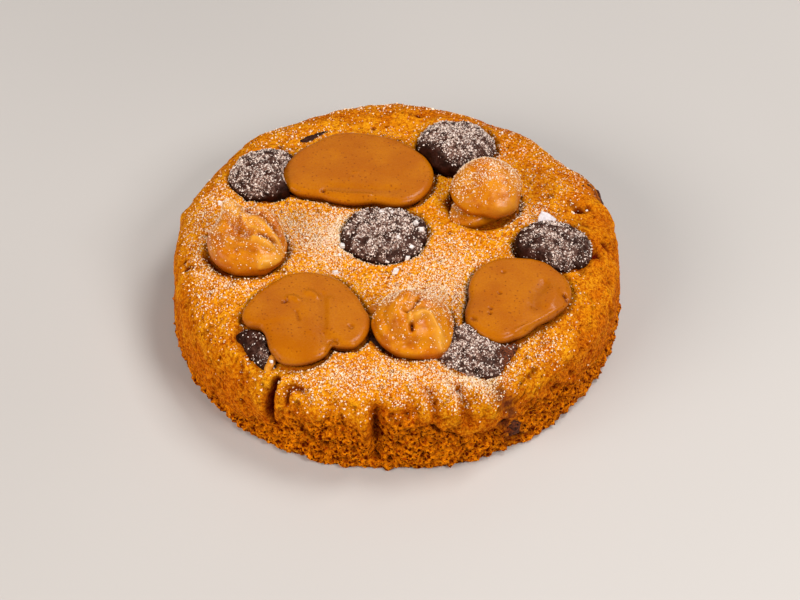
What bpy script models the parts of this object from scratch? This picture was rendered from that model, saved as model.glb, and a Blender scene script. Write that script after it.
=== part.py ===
"""A thick round cookie with chocolate buttons, caramel slabs and caramel drops on top.

Metres, +Z up. The origin is the middle of the underside, +X is right and +Y is the back.
Angles round the cookie are in degrees, from +X towards +Y.
"""

import math

import bmesh
import bpy
from mathutils import Matrix, Vector, noise

MM = 0.001
GAP = 0.3 * MM  # clearance between neighbouring pieces

# The dough
BODY_RADIUS = 58.0 * MM
BODY_HEIGHT = 25.3 * MM
SHOULDER_REACH = 12.0 * MM  # how far in from the side the top starts to turn down
SHOULDER_DROP = 10.0 * MM
TOP_DISH = 0.5 * MM
FOOT_FLARE = 1.8 * MM  # how far the side spreads on its way down
FOOT_INSET = 1.2 * MM
FOOT_HEIGHT = 1.8 * MM
BODY_SIDES = 108
TOP_RIPPLE = 0.35 * MM
RIPPLE_LENGTH = 11.0 * MM
WALL_CRAG = 0.55 * MM
CRAG_LENGTHS = (5.5 * MM, 2.6 * MM)
CRAG_START = 0.75  # share of the radius where the crags set in
CRAG_FULL = 0.95
SKIN_EDGE = 3.0 * MM  # over what height a fold of skin stands out
SKIN_FADE = 8.0 * MM  # how far below the top the folds fade away

# Swellings and flats of the outline: angle, half width in degrees, millimetres outwards
OUTLINE_LOBES = (
    (0, 12, 0.2),
    (25, 6, 1.0),
    (38, 6, -1.2),
    (62, 12, -1.2),
    (92, 9, 0.7),
    (133, 7, 1.0),
    (178, 28, -1.0),
    (-140, 14, 0.3),
    (-92, 6, -0.6),
)

# Folds of skin on the side: angle, half width in degrees, lower edge and millimetres outwards
SKIN_LOBES = (
    (-131, 9, 5.0, 0.7),
    (-108, 10, 7.0, 1.1),
    (-88, 6, 12.0, 0.9),
    (-66, 8, 9.0, 0.8),
    (-30, 12, 6.0, 0.5),
    (15, 14, 7.0, 0.6),
    (60, 12, 8.0, 0.8),
    (95, 10, 6.0, 1.0),
    (128, 10, 9.0, 0.7),
    (165, 14, 6.0, 0.6),
)

# Cracks in the side: angle, middle height, length, width and depth in millimetres, lean in degrees
CRACKS = (
    (-120.5, 15.5, 17.0, 1.8, 4.0, 2),
    (-114.5, 20.0, 7.0, 1.4, 2.4, -12),
    (-95.5, 10.5, 16.0, 1.7, 2.8, 0),
    (-79.0, 12.5, 9.0, 1.6, 2.4, 62),
    (-72.5, 5.5, 8.0, 1.6, 2.6, 8),
    (34.0, 13.0, 12.0, 1.7, 3.0, -8),
    (79.0, 14.0, 13.0, 1.7, 3.2, 5),
    (112.0, 8.0, 10.0, 1.6, 2.4, 20),
    (148.0, 12.0, 9.0, 1.5, 2.2, -15),
)

CRACK_OUT = 0.6 * MM  # how far outside the plain side a crack is centred

# Whole buttons: x, y, lift, width, depth and dome in millimetres, tilt about X and Y in degrees
BUTTON_PLACES = (
    (-34.3, 21.6, 0.0, 18.6, 19.8, 4.6, -4, -6),
    (16.6, 32.5, 0.0, 20.8, 21.6, 5.2, -6, 2),
    (-2.6, -1.0, 0.0, 21.8, 20.8, 3.2, 0, 0),
    (40.8, -5.6, 0.0, 20.5, 17.8, 4.0, 0, 8),
    (-28.6, -35.6, -1.0, 20.2, 20.0, 2.2, 8, -5),
    (19.3, -39.5, -0.8, 20.4, 19.6, 3.0, 10, 3),
)
BUTTON_SUNK = 3.4 * MM
BUTTON_SIDES = 20
BUTTON_LUMPS = 0.06  # share by which lumps change a button
LUMP_LENGTH = 7.0 * MM

# Buttons that only peep out: x, y, z, width, depth and dome in millimetres, then three turns
PEEPING_PLACES = (
    (51.6, 21.9, 18.6, 14.0, 11.0, 2.7, 0, 50, 23),
    (-21.8, 37.6, 24.8, 10.0, 3.2, 1.2, 0, 0, 28),
    (-4.9, -39.0, 24.5, 8.2, 5.8, 1.4, 0, 0, -10),
    (29.1, -50.5, 6.0, 8.0, 6.4, 1.9, 0, 90, -60),
)
PEEPING_SUNK = 1.8 * MM
PEEPING_SIDES = 12
PEEPING_LUMPS = 0.05

# Slab outlines, in millimetres, anticlockwise round a middle point
SLAB_MIDDLES = ((-9.5, 22.8), (-21.5, -33.4), (29.8, -26.6))
SLAB_OUTLINES = (
    (
        (10.3, 19.6), (9.4, 25.2), (5.7, 30.4), (0.0, 34.8), (-7.3, 37.0), (-15.8, 37.0),
        (-22.1, 33.0), (-27.6, 27.0), (-29.7, 19.6), (-27.0, 14.4), (-19.1, 12.0), (-5.7, 10.2),
        (2.9, 9.4), (8.2, 13.6),
    ),
    (
        (-6.0, -32.2), (-7.4, -28.9), (-9.8, -23.9), (-13.8, -19.2), (-19.9, -16.6),
        (-25.8, -17.2), (-30.9, -20.9), (-36.0, -27.4), (-37.3, -31.9), (-35.6, -34.9),
        (-32.8, -35.7), (-31.2, -38.4), (-29.0, -44.0), (-26.8, -46.3), (-20.9, -46.9),
        (-16.6, -45.0), (-14.9, -41.8), (-13.4, -42.3), (-9.5, -42.2), (-6.5, -37.6),
    ),
    (
        (43.8, -24.3), (43.1, -19.4), (40.5, -15.9), (37.4, -12.9), (31.8, -11.5),
        (26.3, -11.8), (22.3, -13.8), (19.3, -18.1), (18.3, -25.6), (17.4, -31.4),
        (18.0, -35.1), (20.5, -38.0), (25.3, -40.4), (29.0, -39.2), (34.8, -34.8), (39.7, -31.0),
    ),
)
SLAB_PROUD = 2.8 * MM
SLAB_CROWN = 0.5 * MM
SLAB_SUNK = 0.9 * MM
SLAB_EDGE = 3.2 * MM  # width of the rounded edge in plan
SLAB_SIDES = 40
SLAB_FOLLOW = 0.6  # how much of the dough's slope a slab takes
PLAIN_RADIUS = 10.0 * MM  # radius of the round slab before it takes its outline

# Drops: x, y and radius, then the profile as (share of radius, height) from top to foot
DROP_PLACES = ((-37.2, -6.9, 9.9), (23.6, 10.8, 9.5), (4.7, -35.1, 9.9))
DROP_PROFILES = (
    (
        (0, 6.4), (0.2, 6.5), (0.42, 7.1), (0.58, 7.4), (0.72, 6.9), (0.86, 5.6), (0.96, 3.9),
        (1.0, 2.2), (0.97, 0.6), (0.8, -1.3), (0, -1.4),
    ),
    (
        (0, 12.0), (0.28, 11.6), (0.55, 10.4), (0.78, 8.5), (0.94, 6.3), (0.97, 4.4),
        (0.9, 2.7), (0.84, 1.8), (0.93, 0.8), (0.92, -0.2), (0.8, -1.3), (0, -1.4),
    ),
    (
        (0, 9.4), (0.16, 9.1), (0.34, 8.5), (0.55, 7.5), (0.76, 5.9), (0.91, 4.3),
        (0.94, 3.3), (1.0, 2.2), (0.98, 0.7), (0.8, -1.3), (0, -1.4),
    ),
)
# How far the top of each drop leans, in millimetres
DROP_LEANS = ((-0.6, 0.8), (0.6, 1.4), (-0.6, 1.2))
# Swirls and dents on the drops: x, y from the middle, spread and height in millimetres
DROP_BUMPS = (
    ((-4.2, 6.2, 2.2, 3.6), (1.6, 3.8, 2.4, 1.6), (5.0, 3.4, 2.4, 1.8), (-0.4, 0.4, 2.6, -1.6)),
    ((5.2, -3.4, 3.2, 0.8), (-5.0, -4.2, 2.8, -0.9), (-2.0, 3.0, 3.0, 0.5)),
    ((-1.6, 3.2, 1.7, 1.8), (4.6, 0.2, 2.2, 1.0), (-1.0, -0.8, 1.5, -1.6), (-5.4, -1.2, 2.4, 0.7)),
)
DROP_SIDES = 24
DROP_LUMPS = 0.05
DROP_LUMP_LENGTH = 6.0 * MM

BEAD_PLACE = (-5.4, -27.4, 1.7)  # x, y and radius in millimetres
FLAKE_PLACE = (39.2, 4.4, 26.1)
FLAKE_SIZE = (2.9 * MM, 1.3 * MM)  # radius and thickness
FLAKE_TURNS = (38, -8, 20)

# Which toppings lie over each button
OVERLAPPED = {
    "chocolate_button_1": ("caramel_slab_1",),
    "chocolate_button_2": ("caramel_slab_1", "caramel_drop_2"),
    "chocolate_button_3": ("caramel_slab_1",),
    "chocolate_button_4": ("caramel_slab_3", "salt_flake"),
    "chocolate_button_5": ("caramel_slab_2",),
    "chocolate_button_6": ("caramel_slab_3", "caramel_drop_3"),
    "chocolate_button_8": ("caramel_slab_1",),
    "chocolate_button_9": ("caramel_slab_2", "caramel_drop_3"),
}

EXACT_FAILS = {"caramel_slab_2"}  # the exact solver loses the dough at this cut


def cleared_scene():
    """Removes what the scene holds."""
    for obj in list(bpy.context.scene.objects):
        bpy.data.objects.remove(obj, do_unlink=True)


def new_collection(name):
    collection = bpy.data.collections.new(name)
    bpy.context.scene.collection.children.link(collection)
    return collection


def linear(*channels):
    """A colour given as 0 to 255 screen values, as the shader wants it."""
    shares = [channel / 255 for channel in channels]
    return tuple(s / 12.92 if s < 0.04 else ((s + 0.055) / 1.055) ** 2.4 for s in shares) + (1,)


def make_material(name, colour, roughness):
    material = bpy.data.materials.new(name)
    material.use_nodes = True
    shader = material.node_tree.nodes["Principled BSDF"]
    shader.inputs["Base Color"].default_value = colour
    shader.inputs["Roughness"].default_value = roughness
    shader.inputs["Metallic"].default_value = 0.0
    material.diffuse_color = colour
    return material


def add_object(name, mesh, collection, material=None):
    obj = bpy.data.objects.new(name, mesh)
    collection.objects.link(obj)
    if material:
        mesh.materials.clear()
        mesh.materials.append(material)
    mesh.shade_smooth()
    mesh.set_sharp_from_angle(angle=math.radians(50))
    return obj


def turned_mesh(name, profile, sides):
    """A solid of revolution from (radius, height) points, given from the top down its outer side."""
    line = bpy.data.meshes.new(name)
    points = [(radius, 0, height) for radius, height in profile]
    line.from_pydata(points, [(i, i + 1) for i in range(len(points) - 1)], [])
    guide = bpy.data.objects.new(name, line)
    bpy.context.scene.collection.objects.link(guide)
    screw = guide.modifiers.new("Turn", "SCREW")
    screw.steps = sides
    screw.render_steps = sides
    screw.use_merge_vertices = True
    screw.merge_threshold = 0.00001
    depsgraph = bpy.context.evaluated_depsgraph_get()
    mesh = bpy.data.meshes.new_from_object(guide.evaluated_get(depsgraph), depsgraph=depsgraph)
    bpy.data.objects.remove(guide, do_unlink=True)
    shape = bmesh.new()
    shape.from_mesh(mesh)
    bmesh.ops.remove_doubles(shape, verts=shape.verts, dist=0.00001)
    bmesh.ops.recalc_face_normals(shape, faces=shape.faces)
    shape.to_mesh(mesh)
    shape.free()
    return mesh


def degrees_between(first, second):
    return (first - second + 180) % 360 - 180


def between_0_and_1(value):
    return min(max(value, 0), 1)


def body_radius(angle):
    """Radius of the cookie's outline at an angle in radians."""
    radius = BODY_RADIUS
    for centre, half_width, height in OUTLINE_LOBES:
        turn = degrees_between(math.degrees(angle), centre)
        radius += height * MM * math.exp(-((turn / half_width) ** 2))
    return radius


def dough_level(x, y):
    """Height of the dough's top at a point in plan, without its small ripples."""
    reach = math.hypot(x, y)
    flat = body_radius(math.atan2(y, x)) - SHOULDER_REACH
    turn = between_0_and_1((reach - flat) / SHOULDER_REACH)
    drop = SHOULDER_DROP * (1 - math.sqrt(1 - turn * turn))
    dish = TOP_DISH * max(0, 1 - (reach / flat) ** 2)
    return BODY_HEIGHT - drop - dish


def body_profile():
    """The dough's profile from the middle of the top to the middle of the underside."""
    flat = BODY_RADIUS - SHOULDER_REACH
    profile = [(flat * share, BODY_HEIGHT) for share in (0, 0.35, 0.7)]
    for angle in (90, 66, 45, 25, 6):
        turn = math.radians(angle)
        profile.append(
            (
                flat + SHOULDER_REACH * math.cos(turn),
                BODY_HEIGHT - SHOULDER_DROP * (1 - math.sin(turn)),
            )
        )
    wall = BODY_HEIGHT - SHOULDER_DROP
    for share in (0.72, 0.42):
        profile.append((BODY_RADIUS + (1 - share) * FOOT_FLARE, wall * share))
    foot = BODY_RADIUS + FOOT_FLARE
    profile.append((foot, FOOT_HEIGHT))
    profile.append((foot - 0.35 * FOOT_INSET, 0.4 * FOOT_HEIGHT))
    profile.append((foot - FOOT_INSET, 0))
    profile.append((0, 0))
    return profile


def skin_swell(angle, height):
    """How far the folds of skin stand out of the side at an angle in radians and a height."""
    swell = 0
    for centre, half_width, lower_edge, proud in SKIN_LOBES:
        turn = degrees_between(math.degrees(angle), centre)
        rise = between_0_and_1((height - lower_edge * MM) / SKIN_EDGE)
        fade = between_0_and_1((BODY_HEIGHT - height) / SKIN_FADE)
        swell += proud * MM * rise * fade * math.exp(-((turn / half_width) ** 2))
    return swell


def uneven_body(mesh):
    """Gives the turned dough its outline, its folds of skin and its crags."""
    for vertex in mesh.vertices:
        x, y, z = vertex.co
        reach = math.hypot(x, y)
        if reach < MM:
            vertex.co.z = dough_level(0, 0) if z > MM else 0
            continue
        angle = math.atan2(y, x)
        side = between_0_and_1((reach / BODY_RADIUS - CRAG_START) / (CRAG_FULL - CRAG_START))
        new_reach = reach + (body_radius(angle) - BODY_RADIUS) * reach / BODY_RADIUS
        if z > 0:
            crag = noise.noise(vertex.co / CRAG_LENGTHS[0])
            crag += 0.6 * noise.noise(vertex.co / CRAG_LENGTHS[1])
            new_reach += side * (skin_swell(angle, z) + WALL_CRAG * crag)
        vertex.co.x = new_reach * math.cos(angle)
        vertex.co.y = new_reach * math.sin(angle)
        if z > BODY_HEIGHT - SHOULDER_DROP:
            ripple = noise.noise(Vector((x, y, 0)) / RIPPLE_LENGTH)
            dish = TOP_DISH * max(0, 1 - (reach / (BODY_RADIUS - SHOULDER_REACH)) ** 2)
            vertex.co.z = z - dish + TOP_RIPPLE * ripple


def crack_cutter(name, crack, collection):
    """A thin lens across the side that leaves one crack."""
    angle, height, length, width, depth, lean = crack
    bpy.ops.mesh.primitive_uv_sphere_add(segments=10, ring_count=8, radius=1)
    cutter = bpy.context.object
    cutter.name = name
    turn = math.radians(angle)
    reach = body_radius(turn) + CRACK_OUT
    place = Matrix.Translation((reach * math.cos(turn), reach * math.sin(turn), height * MM))
    turned = place @ Matrix.Rotation(turn, 4, "Z") @ Matrix.Rotation(math.radians(lean), 4, "X")
    size = Matrix.Diagonal((depth * MM, width / 2 * MM, length / 2 * MM, 1))
    cutter.data.transform(turned @ size)
    hide_cutter(cutter, collection)


def hide_cutter(cutter, collection):
    for holder in list(cutter.users_collection):
        holder.objects.unlink(cutter)
    collection.objects.link(cutter)
    cutter.hide_render = True
    cutter.display_type = "WIRE"


def button_profile(radius, dome, sunk):
    """A domed disc, from the top of its dome to the middle of its flat underside."""
    profile = []
    for share in (0, 0.34, 0.62, 0.84, 0.96, 1):
        profile.append((radius * share, dome * (1 - share**2.3) ** (1 / 2.3)))
    profile.append((radius * 0.97, -0.5 * sunk))
    profile.append((radius * 0.85, -sunk))
    profile.append((0, -sunk))
    return profile


def uneven_disc(mesh, number, amount):
    """Makes a round piece a little lumpy in plan and in height, each number in its own way."""
    shift = 1.7 * number
    for vertex in mesh.vertices:
        spot = Vector((vertex.co.x, vertex.co.y, 0)) / LUMP_LENGTH
        share = 1 + amount * noise.noise(spot + Vector((shift, 0, 0)))
        vertex.co.x *= share
        vertex.co.y *= share
        vertex.co.z *= 1 + amount * noise.noise(spot + Vector((0, shift, 0)))


def turns(about_x, about_y, about_z):
    """A rotation from three angles in degrees, about X, then Y, then Z."""
    return (
        Matrix.Rotation(math.radians(about_z), 4, "Z")
        @ Matrix.Rotation(math.radians(about_y), 4, "Y")
        @ Matrix.Rotation(math.radians(about_x), 4, "X")
    )


def make_buttons(collection, material):
    for number, place in enumerate(BUTTON_PLACES, 1):
        x, y, lift, width, depth, dome, tilt_x, tilt_y = place
        name = f"chocolate_button_{number}"
        profile = button_profile(width / 2 * MM, dome * MM, BUTTON_SUNK)
        mesh = turned_mesh(name, profile, BUTTON_SIDES)
        uneven_disc(mesh, number, BUTTON_LUMPS)
        level = dough_level(x * MM, y * MM) + lift * MM
        seat = Matrix.Translation((x * MM, y * MM, level))
        mesh.transform(seat @ turns(tilt_x, tilt_y, 0) @ Matrix.Diagonal((1, depth / width, 1, 1)))
        add_object(name, mesh, collection, material)


def make_peeping_buttons(collection, material):
    first = len(BUTTON_PLACES) + 1
    for number, place in enumerate(PEEPING_PLACES, first):
        x, y, z, width, depth, dome, *angles = place
        name = f"chocolate_button_{number}"
        profile = button_profile(width / 2 * MM, dome * MM, PEEPING_SUNK)
        mesh = turned_mesh(name, profile, PEEPING_SIDES)
        uneven_disc(mesh, number, PEEPING_LUMPS)
        seat = Matrix.Translation((x * MM, y * MM, z * MM))
        mesh.transform(seat @ turns(*angles) @ Matrix.Diagonal((1, depth / width, 1, 1)))
        add_object(name, mesh, collection, material)


def outline_reach(outline, middle, angle):
    """Distance from the middle to a smooth closed outline through the given points."""
    polar = []
    for x, y in outline:
        across, along = x - middle[0], y - middle[1]
        polar.append((math.atan2(along, across), math.hypot(across, along) * MM))
    polar.sort()
    count = len(polar)
    after = next((i for i, (turn, _) in enumerate(polar) if turn > angle), 0)
    knots = [polar[(after + step) % count] for step in (-2, -1, 0, 1)]
    span = (knots[2][0] - knots[1][0]) % (2 * math.pi)
    share = ((angle - knots[1][0]) % (2 * math.pi)) / span
    before, start, end, beyond = (knot[1] for knot in knots)
    rise_start = (end - before) / 2
    rise_end = (beyond - start) / 2
    cube, square = share**3, share**2
    return (
        (2 * cube - 3 * square + 1) * start
        + (cube - 2 * square + share) * rise_start
        + (3 * square - 2 * cube) * end
        + (cube - square) * rise_end
    )


def slab_profile():
    """A round slab with a rolled edge, from the middle of its top to the middle below."""
    radius = PLAIN_RADIUS
    edge = SLAB_EDGE
    return [
        (0, SLAB_PROUD + SLAB_CROWN),
        (0.35 * radius, SLAB_PROUD + 0.8 * SLAB_CROWN),
        (radius - edge, SLAB_PROUD),
        (radius - 0.6 * edge, SLAB_PROUD - 0.3 * MM),
        (radius - 0.28 * edge, SLAB_PROUD - 0.9 * MM),
        (radius - 0.06 * edge, SLAB_PROUD - 1.8 * MM),
        (radius, 0.5 * MM),
        (radius - 0.2 * edge, -0.6 * SLAB_SUNK),
        (radius - 0.8 * edge, -SLAB_SUNK),
        (0, -SLAB_SUNK),
    ]


def make_slabs(collection, material):
    for number, (middle, outline) in enumerate(zip(SLAB_MIDDLES, SLAB_OUTLINES), 1):
        name = f"caramel_slab_{number}"
        mesh = turned_mesh(name, slab_profile(), SLAB_SIDES)
        inner = PLAIN_RADIUS - SLAB_EDGE
        middle_level = dough_level(middle[0] * MM, middle[1] * MM)
        for vertex in mesh.vertices:
            angle = math.atan2(vertex.co.y, vertex.co.x)
            reach = math.hypot(vertex.co.x, vertex.co.y)
            rim = outline_reach(outline, middle, angle)
            if reach > inner:
                new_reach = rim - (PLAIN_RADIUS - reach)
            else:
                new_reach = (rim - SLAB_EDGE) * reach / inner
            vertex.co.x = middle[0] * MM + new_reach * math.cos(angle)
            vertex.co.y = middle[1] * MM + new_reach * math.sin(angle)
            level = dough_level(vertex.co.x, vertex.co.y)
            vertex.co.z += middle_level + SLAB_FOLLOW * (level - middle_level)
        add_object(name, mesh, collection, material)


def make_drops(collection, material):
    for index, (x, y, radius) in enumerate(DROP_PLACES):
        name = f"caramel_drop_{index + 1}"
        profile = [(share * radius * MM, height * MM) for share, height in DROP_PROFILES[index]]
        mesh = turned_mesh(name, profile, DROP_SIDES)
        top = DROP_PROFILES[index][0][1] * MM
        lean_x, lean_y = DROP_LEANS[index]
        for vertex in mesh.vertices:
            lift = max(vertex.co.z, 0) / top
            for bump_x, bump_y, spread, height in DROP_BUMPS[index]:
                across = math.hypot(vertex.co.x / MM - bump_x, vertex.co.y / MM - bump_y)
                vertex.co.z += height * MM * min(lift, 1) * math.exp(-((across / spread) ** 2))
            share = 1 + DROP_LUMPS * noise.noise(vertex.co / DROP_LUMP_LENGTH)
            vertex.co.x = vertex.co.x * share + lean_x * MM * lift
            vertex.co.y = vertex.co.y * share + lean_y * MM * lift
        mesh.transform(Matrix.Translation((x * MM, y * MM, dough_level(x * MM, y * MM))))
        add_object(name, mesh, collection, material)


def make_bead(collection, material):
    x, y, radius = BEAD_PLACE
    shape = bmesh.new()
    bmesh.ops.create_uvsphere(shape, u_segments=12, v_segments=8, radius=radius * MM)
    mesh = bpy.data.meshes.new("caramel_bead")
    shape.to_mesh(mesh)
    shape.free()
    level = dough_level(x * MM, y * MM)
    mesh.transform(Matrix.Translation((x * MM, y * MM, level + 0.3 * radius * MM)))
    add_object("caramel_bead", mesh, collection, material)


def make_flake(collection, material):
    radius, thickness = FLAKE_SIZE
    shape = bmesh.new()
    bmesh.ops.create_cone(
        shape, cap_ends=True, segments=5, radius1=radius, radius2=0.8 * radius, depth=thickness
    )
    mesh = bpy.data.meshes.new("salt_flake")
    shape.to_mesh(mesh)
    shape.free()
    place = Matrix.Translation([value * MM for value in FLAKE_PLACE])
    mesh.transform(place @ turns(*FLAKE_TURNS) @ Matrix.Diagonal((1, 0.85, 1, 1)))
    add_object("salt_flake", mesh, collection, material)


def grown_copy(obj, collection):
    """A cutter one gap larger than the piece all round."""
    mesh = obj.data.copy()
    for vertex, source in zip(mesh.vertices, obj.data.vertices):
        vertex.co = source.co + 1.2 * GAP * source.normal
    cutter = bpy.data.objects.new(obj.name + "_pocket", mesh)
    hide_cutter(cutter, collection)
    return cutter


def cut_by(obj, cutter, solver="EXACT"):
    cut = obj.modifiers.new("Cut by " + cutter.name, "BOOLEAN")
    cut.operation = "DIFFERENCE"
    cut.solver = solver
    cut.object = cutter


def main():
    cleared_scene()
    parts = new_collection("Caramel cookie")
    cutters = new_collection("Cutters")
    cutters.hide_render = True
    dough = make_material("Baked dough", linear(205, 126, 40), 0.85)
    chocolate = make_material("Dark chocolate", linear(48, 24, 14), 0.55)
    caramel = make_material("Caramel slab", linear(198, 112, 18), 0.35)
    whipped = make_material("Caramel drop", linear(214, 136, 48), 0.35)
    salt = make_material("Salt", linear(240, 236, 232), 0.3)

    mesh = turned_mesh("cookie_body", body_profile(), BODY_SIDES)
    uneven_body(mesh)
    body = add_object("cookie_body", mesh, parts, dough)
    make_buttons(parts, chocolate)
    make_peeping_buttons(parts, chocolate)
    make_slabs(parts, caramel)
    make_drops(parts, whipped)
    make_bead(parts, whipped)
    make_flake(parts, salt)

    pockets = {obj.name: grown_copy(obj, cutters) for obj in parts.objects if obj is not body}
    for name, above in OVERLAPPED.items():
        for topping in above:
            cut_by(bpy.data.objects[name], pockets[topping])
    for name, pocket in pockets.items():
        cut_by(body, pocket, "MANIFOLD" if name in EXACT_FAILS else "EXACT")
    for number, crack in enumerate(CRACKS, 1):
        name = f"crack_{number}"
        crack_cutter(name, crack, cutters)
        cut_by(body, bpy.data.objects[name])


main()
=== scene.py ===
import math

import bpy
import numpy as np
from mathutils import Matrix, Vector
from mathutils import noise as blender_noise


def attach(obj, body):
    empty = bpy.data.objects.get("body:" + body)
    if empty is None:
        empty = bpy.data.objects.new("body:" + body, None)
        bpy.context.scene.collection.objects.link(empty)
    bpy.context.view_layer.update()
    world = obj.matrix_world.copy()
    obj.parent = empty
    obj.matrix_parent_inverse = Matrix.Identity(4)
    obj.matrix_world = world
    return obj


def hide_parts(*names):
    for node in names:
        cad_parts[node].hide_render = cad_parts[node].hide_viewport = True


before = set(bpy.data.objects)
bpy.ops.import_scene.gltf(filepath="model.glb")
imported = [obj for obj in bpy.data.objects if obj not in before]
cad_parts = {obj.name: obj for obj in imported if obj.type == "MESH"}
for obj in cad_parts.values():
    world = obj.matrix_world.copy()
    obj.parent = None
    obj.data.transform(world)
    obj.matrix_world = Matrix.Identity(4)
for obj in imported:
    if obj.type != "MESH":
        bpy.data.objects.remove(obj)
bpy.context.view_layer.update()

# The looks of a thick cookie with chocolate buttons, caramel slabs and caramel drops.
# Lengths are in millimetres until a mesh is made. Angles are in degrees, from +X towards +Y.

MM = 0.001

# The dough, with the same sizes as its solid
BODY_RADIUS = 58.0
BODY_HEIGHT = 25.3
SHOULDER_REACH = 12.0
SHOULDER_DROP = 10.0
TOP_DISH = 0.5
FOOT_FLARE = 1.8
FOOT_INSET = 1.2
FOOT_HEIGHT = 1.8
FLAT_RADIUS = BODY_RADIUS - SHOULDER_REACH
WALL_TOP = BODY_HEIGHT - SHOULDER_DROP

# Angle, half width in degrees, millimetres outwards
OUTLINE_LOBES = (
    (0, 12, 0.2), (25, 6, 1.0), (38, 6, -1.2), (62, 12, -1.2), (92, 9, 0.7),
    (133, 7, 1.0), (178, 28, -1.0), (-140, 14, 0.3), (-92, 6, -0.6),
)
# Angle, half width in degrees, lower edge and millimetres outwards
SKIN_LOBES = (
    (-131, 9, 5.0, 0.7), (-108, 10, 7.0, 1.1), (-88, 6, 12.0, 0.9), (-66, 8, 9.0, 0.8),
    (-30, 12, 6.0, 0.5), (15, 14, 7.0, 0.6), (60, 12, 8.0, 0.8), (95, 10, 6.0, 1.0),
    (128, 10, 9.0, 0.7), (165, 14, 6.0, 0.6),
)
# Height over which a lobe of the skin rises, and depth below the top over which it fades in
SKIN_RISE = 3.0
SKIN_FADE = 8.0
# Steps of the dough's profile
SHOULDER_STEPS = 80
WALL_STEPS = 40
FOOT_STEPS = 10
# Rings of quads from the middle of the top to the shoulder's end, and rows below it
TOP_RINGS = 118
WALL_ROWS = 38

# x, y, lift, width, depth, dome, tilt about X and Y in degrees
BUTTON_PLACES = (
    (-34.3, 21.6, 0.0, 18.6, 19.8, 4.6, -4, -6),
    (16.6, 32.5, 0.0, 20.8, 21.6, 5.2, -6, 2),
    (-2.6, -1.0, 0.0, 21.8, 20.8, 3.2, 0, 0),
    (40.5, -6.1, 0.0, 19.8, 17.6, 4.0, 0, 8),
    (-28.6, -35.6, -1.0, 20.2, 20.0, 2.2, 8, -5),
    (19.3, -39.5, -0.8, 20.4, 19.6, 3.0, 10, 3),
)
BUTTON_SUNK = 3.4
# Unevenness, rings and sides of a mesh
BUTTON_MESH = (0.06, 26, 96)
# Layers of lumps, here and below: size, height and seed
BUTTON_LUMPS = ((3.6, 0.45, 40), (1.5, 0.25, 41), (0.8, 0.1, 42))
# Where each whole button is bare: direction in degrees, start and strength of the bare side
BARE_SIDES = (
    (-20, 0.5, 0.8), (-140, 0.45, 0.95), (-150, 0.75, 0.6), (-150, 0.4, 0.7), (160, 0.2, 0.7),
    (10, 0.25, 0.8),
)
# Sugar on each whole button, and the button whose right part is reddish
BUTTON_DUST = (0.85, 0.93, 0.97, 0.7, 0.46, 1.22)
REDDISH_BUTTON = 6
# x, y, z, width, depth, dome, then three turns in degrees
PEEPING_PLACES = (
    (51.6, 21.9, 18.6, 14.0, 11.0, 2.7, 0, 50, 23),
    (-21.8, 37.6, 24.8, 10.0, 3.2, 1.2, 0, 0, 28),
    (-4.9, -39.0, 24.5, 8.2, 5.8, 1.4, 0, 0, -10),
    (29.1, -50.5, 6.0, 8.0, 6.4, 1.9, 0, 90, -60),
)
PEEPING_SUNK = 1.8
# How much deeper than their solids these lie, along their own axes
PEEPING_SHIFTS = (0.9, 0.35, 0.1, 1.9)
PEEPING_MESH = (0.05, 14, 48)
PEEPING_LUMPS = ((2.6, 0.3, 44), (0.9, 0.3, 45))
BUTTONS_IN_SIDE = (7, 10)
SIDE_BUTTON_LUMPS = ((2.6, 0.9, 44), (0.9, 0.3, 45))
# Lines beyond which dough covers a button: its number, a point in plan and the covered side
BUTTON_COVERS = ((5, -38.1, -34.0, 115), (5, -39.2, -37.0, -143), (6, 15.5, -34.7, 98))
LUMP_LENGTH = 7.0
# How far down a button goes under a slab or under the dough
TUCK_DEPTH = 5

SLAB_MIDDLES = ((-9.5, 22.8), (-21.5, -33.4), (29.8, -26.6))
SLAB_OUTLINES = (
    (
        (10.3, 19.6), (9.4, 25.2), (5.7, 30.4), (0.0, 34.8), (-7.3, 37.0), (-15.8, 37.0),
        (-22.1, 33.0), (-27.6, 27.0), (-29.7, 19.6), (-27.0, 14.4), (-19.1, 12.0), (-5.7, 10.2),
        (2.9, 9.4), (8.2, 13.6),
    ),
    (
        (-6.0, -32.2), (-7.4, -28.9), (-9.8, -23.9), (-13.8, -19.2), (-19.9, -16.6),
        (-25.8, -17.2), (-30.9, -20.9), (-36.0, -27.4), (-37.3, -31.9), (-35.6, -34.9),
        (-32.8, -35.7), (-31.2, -38.4), (-29.0, -44.0), (-26.8, -46.3), (-20.9, -46.9),
        (-16.6, -45.0), (-14.9, -41.8), (-13.4, -42.3), (-9.5, -42.2), (-6.5, -37.6),
    ),
    (
        (43.8, -24.3), (43.1, -19.4), (40.5, -15.9), (37.4, -12.9), (31.8, -11.5),
        (26.3, -11.8), (22.3, -13.8), (19.3, -18.1), (18.3, -25.6), (17.4, -31.4),
        (18.0, -35.1), (20.5, -38.0), (25.3, -40.4), (29.0, -39.2), (34.8, -34.8), (39.7, -31.0),
    ),
)
SLAB_PROUD = 2.8
SLAB_CROWN = 0.5
SLAB_SUNK = 0.9
SLAB_EDGE = 2.3
SLAB_BELLY = 1.1
SLAB_STROKE_STRENGTH = 1.3
SLAB_FOLLOW = 0.6
SLAB_SIDES = 260
SLAB_RINGS = 44
SLAB_EDGE_RINGS = 16

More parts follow.
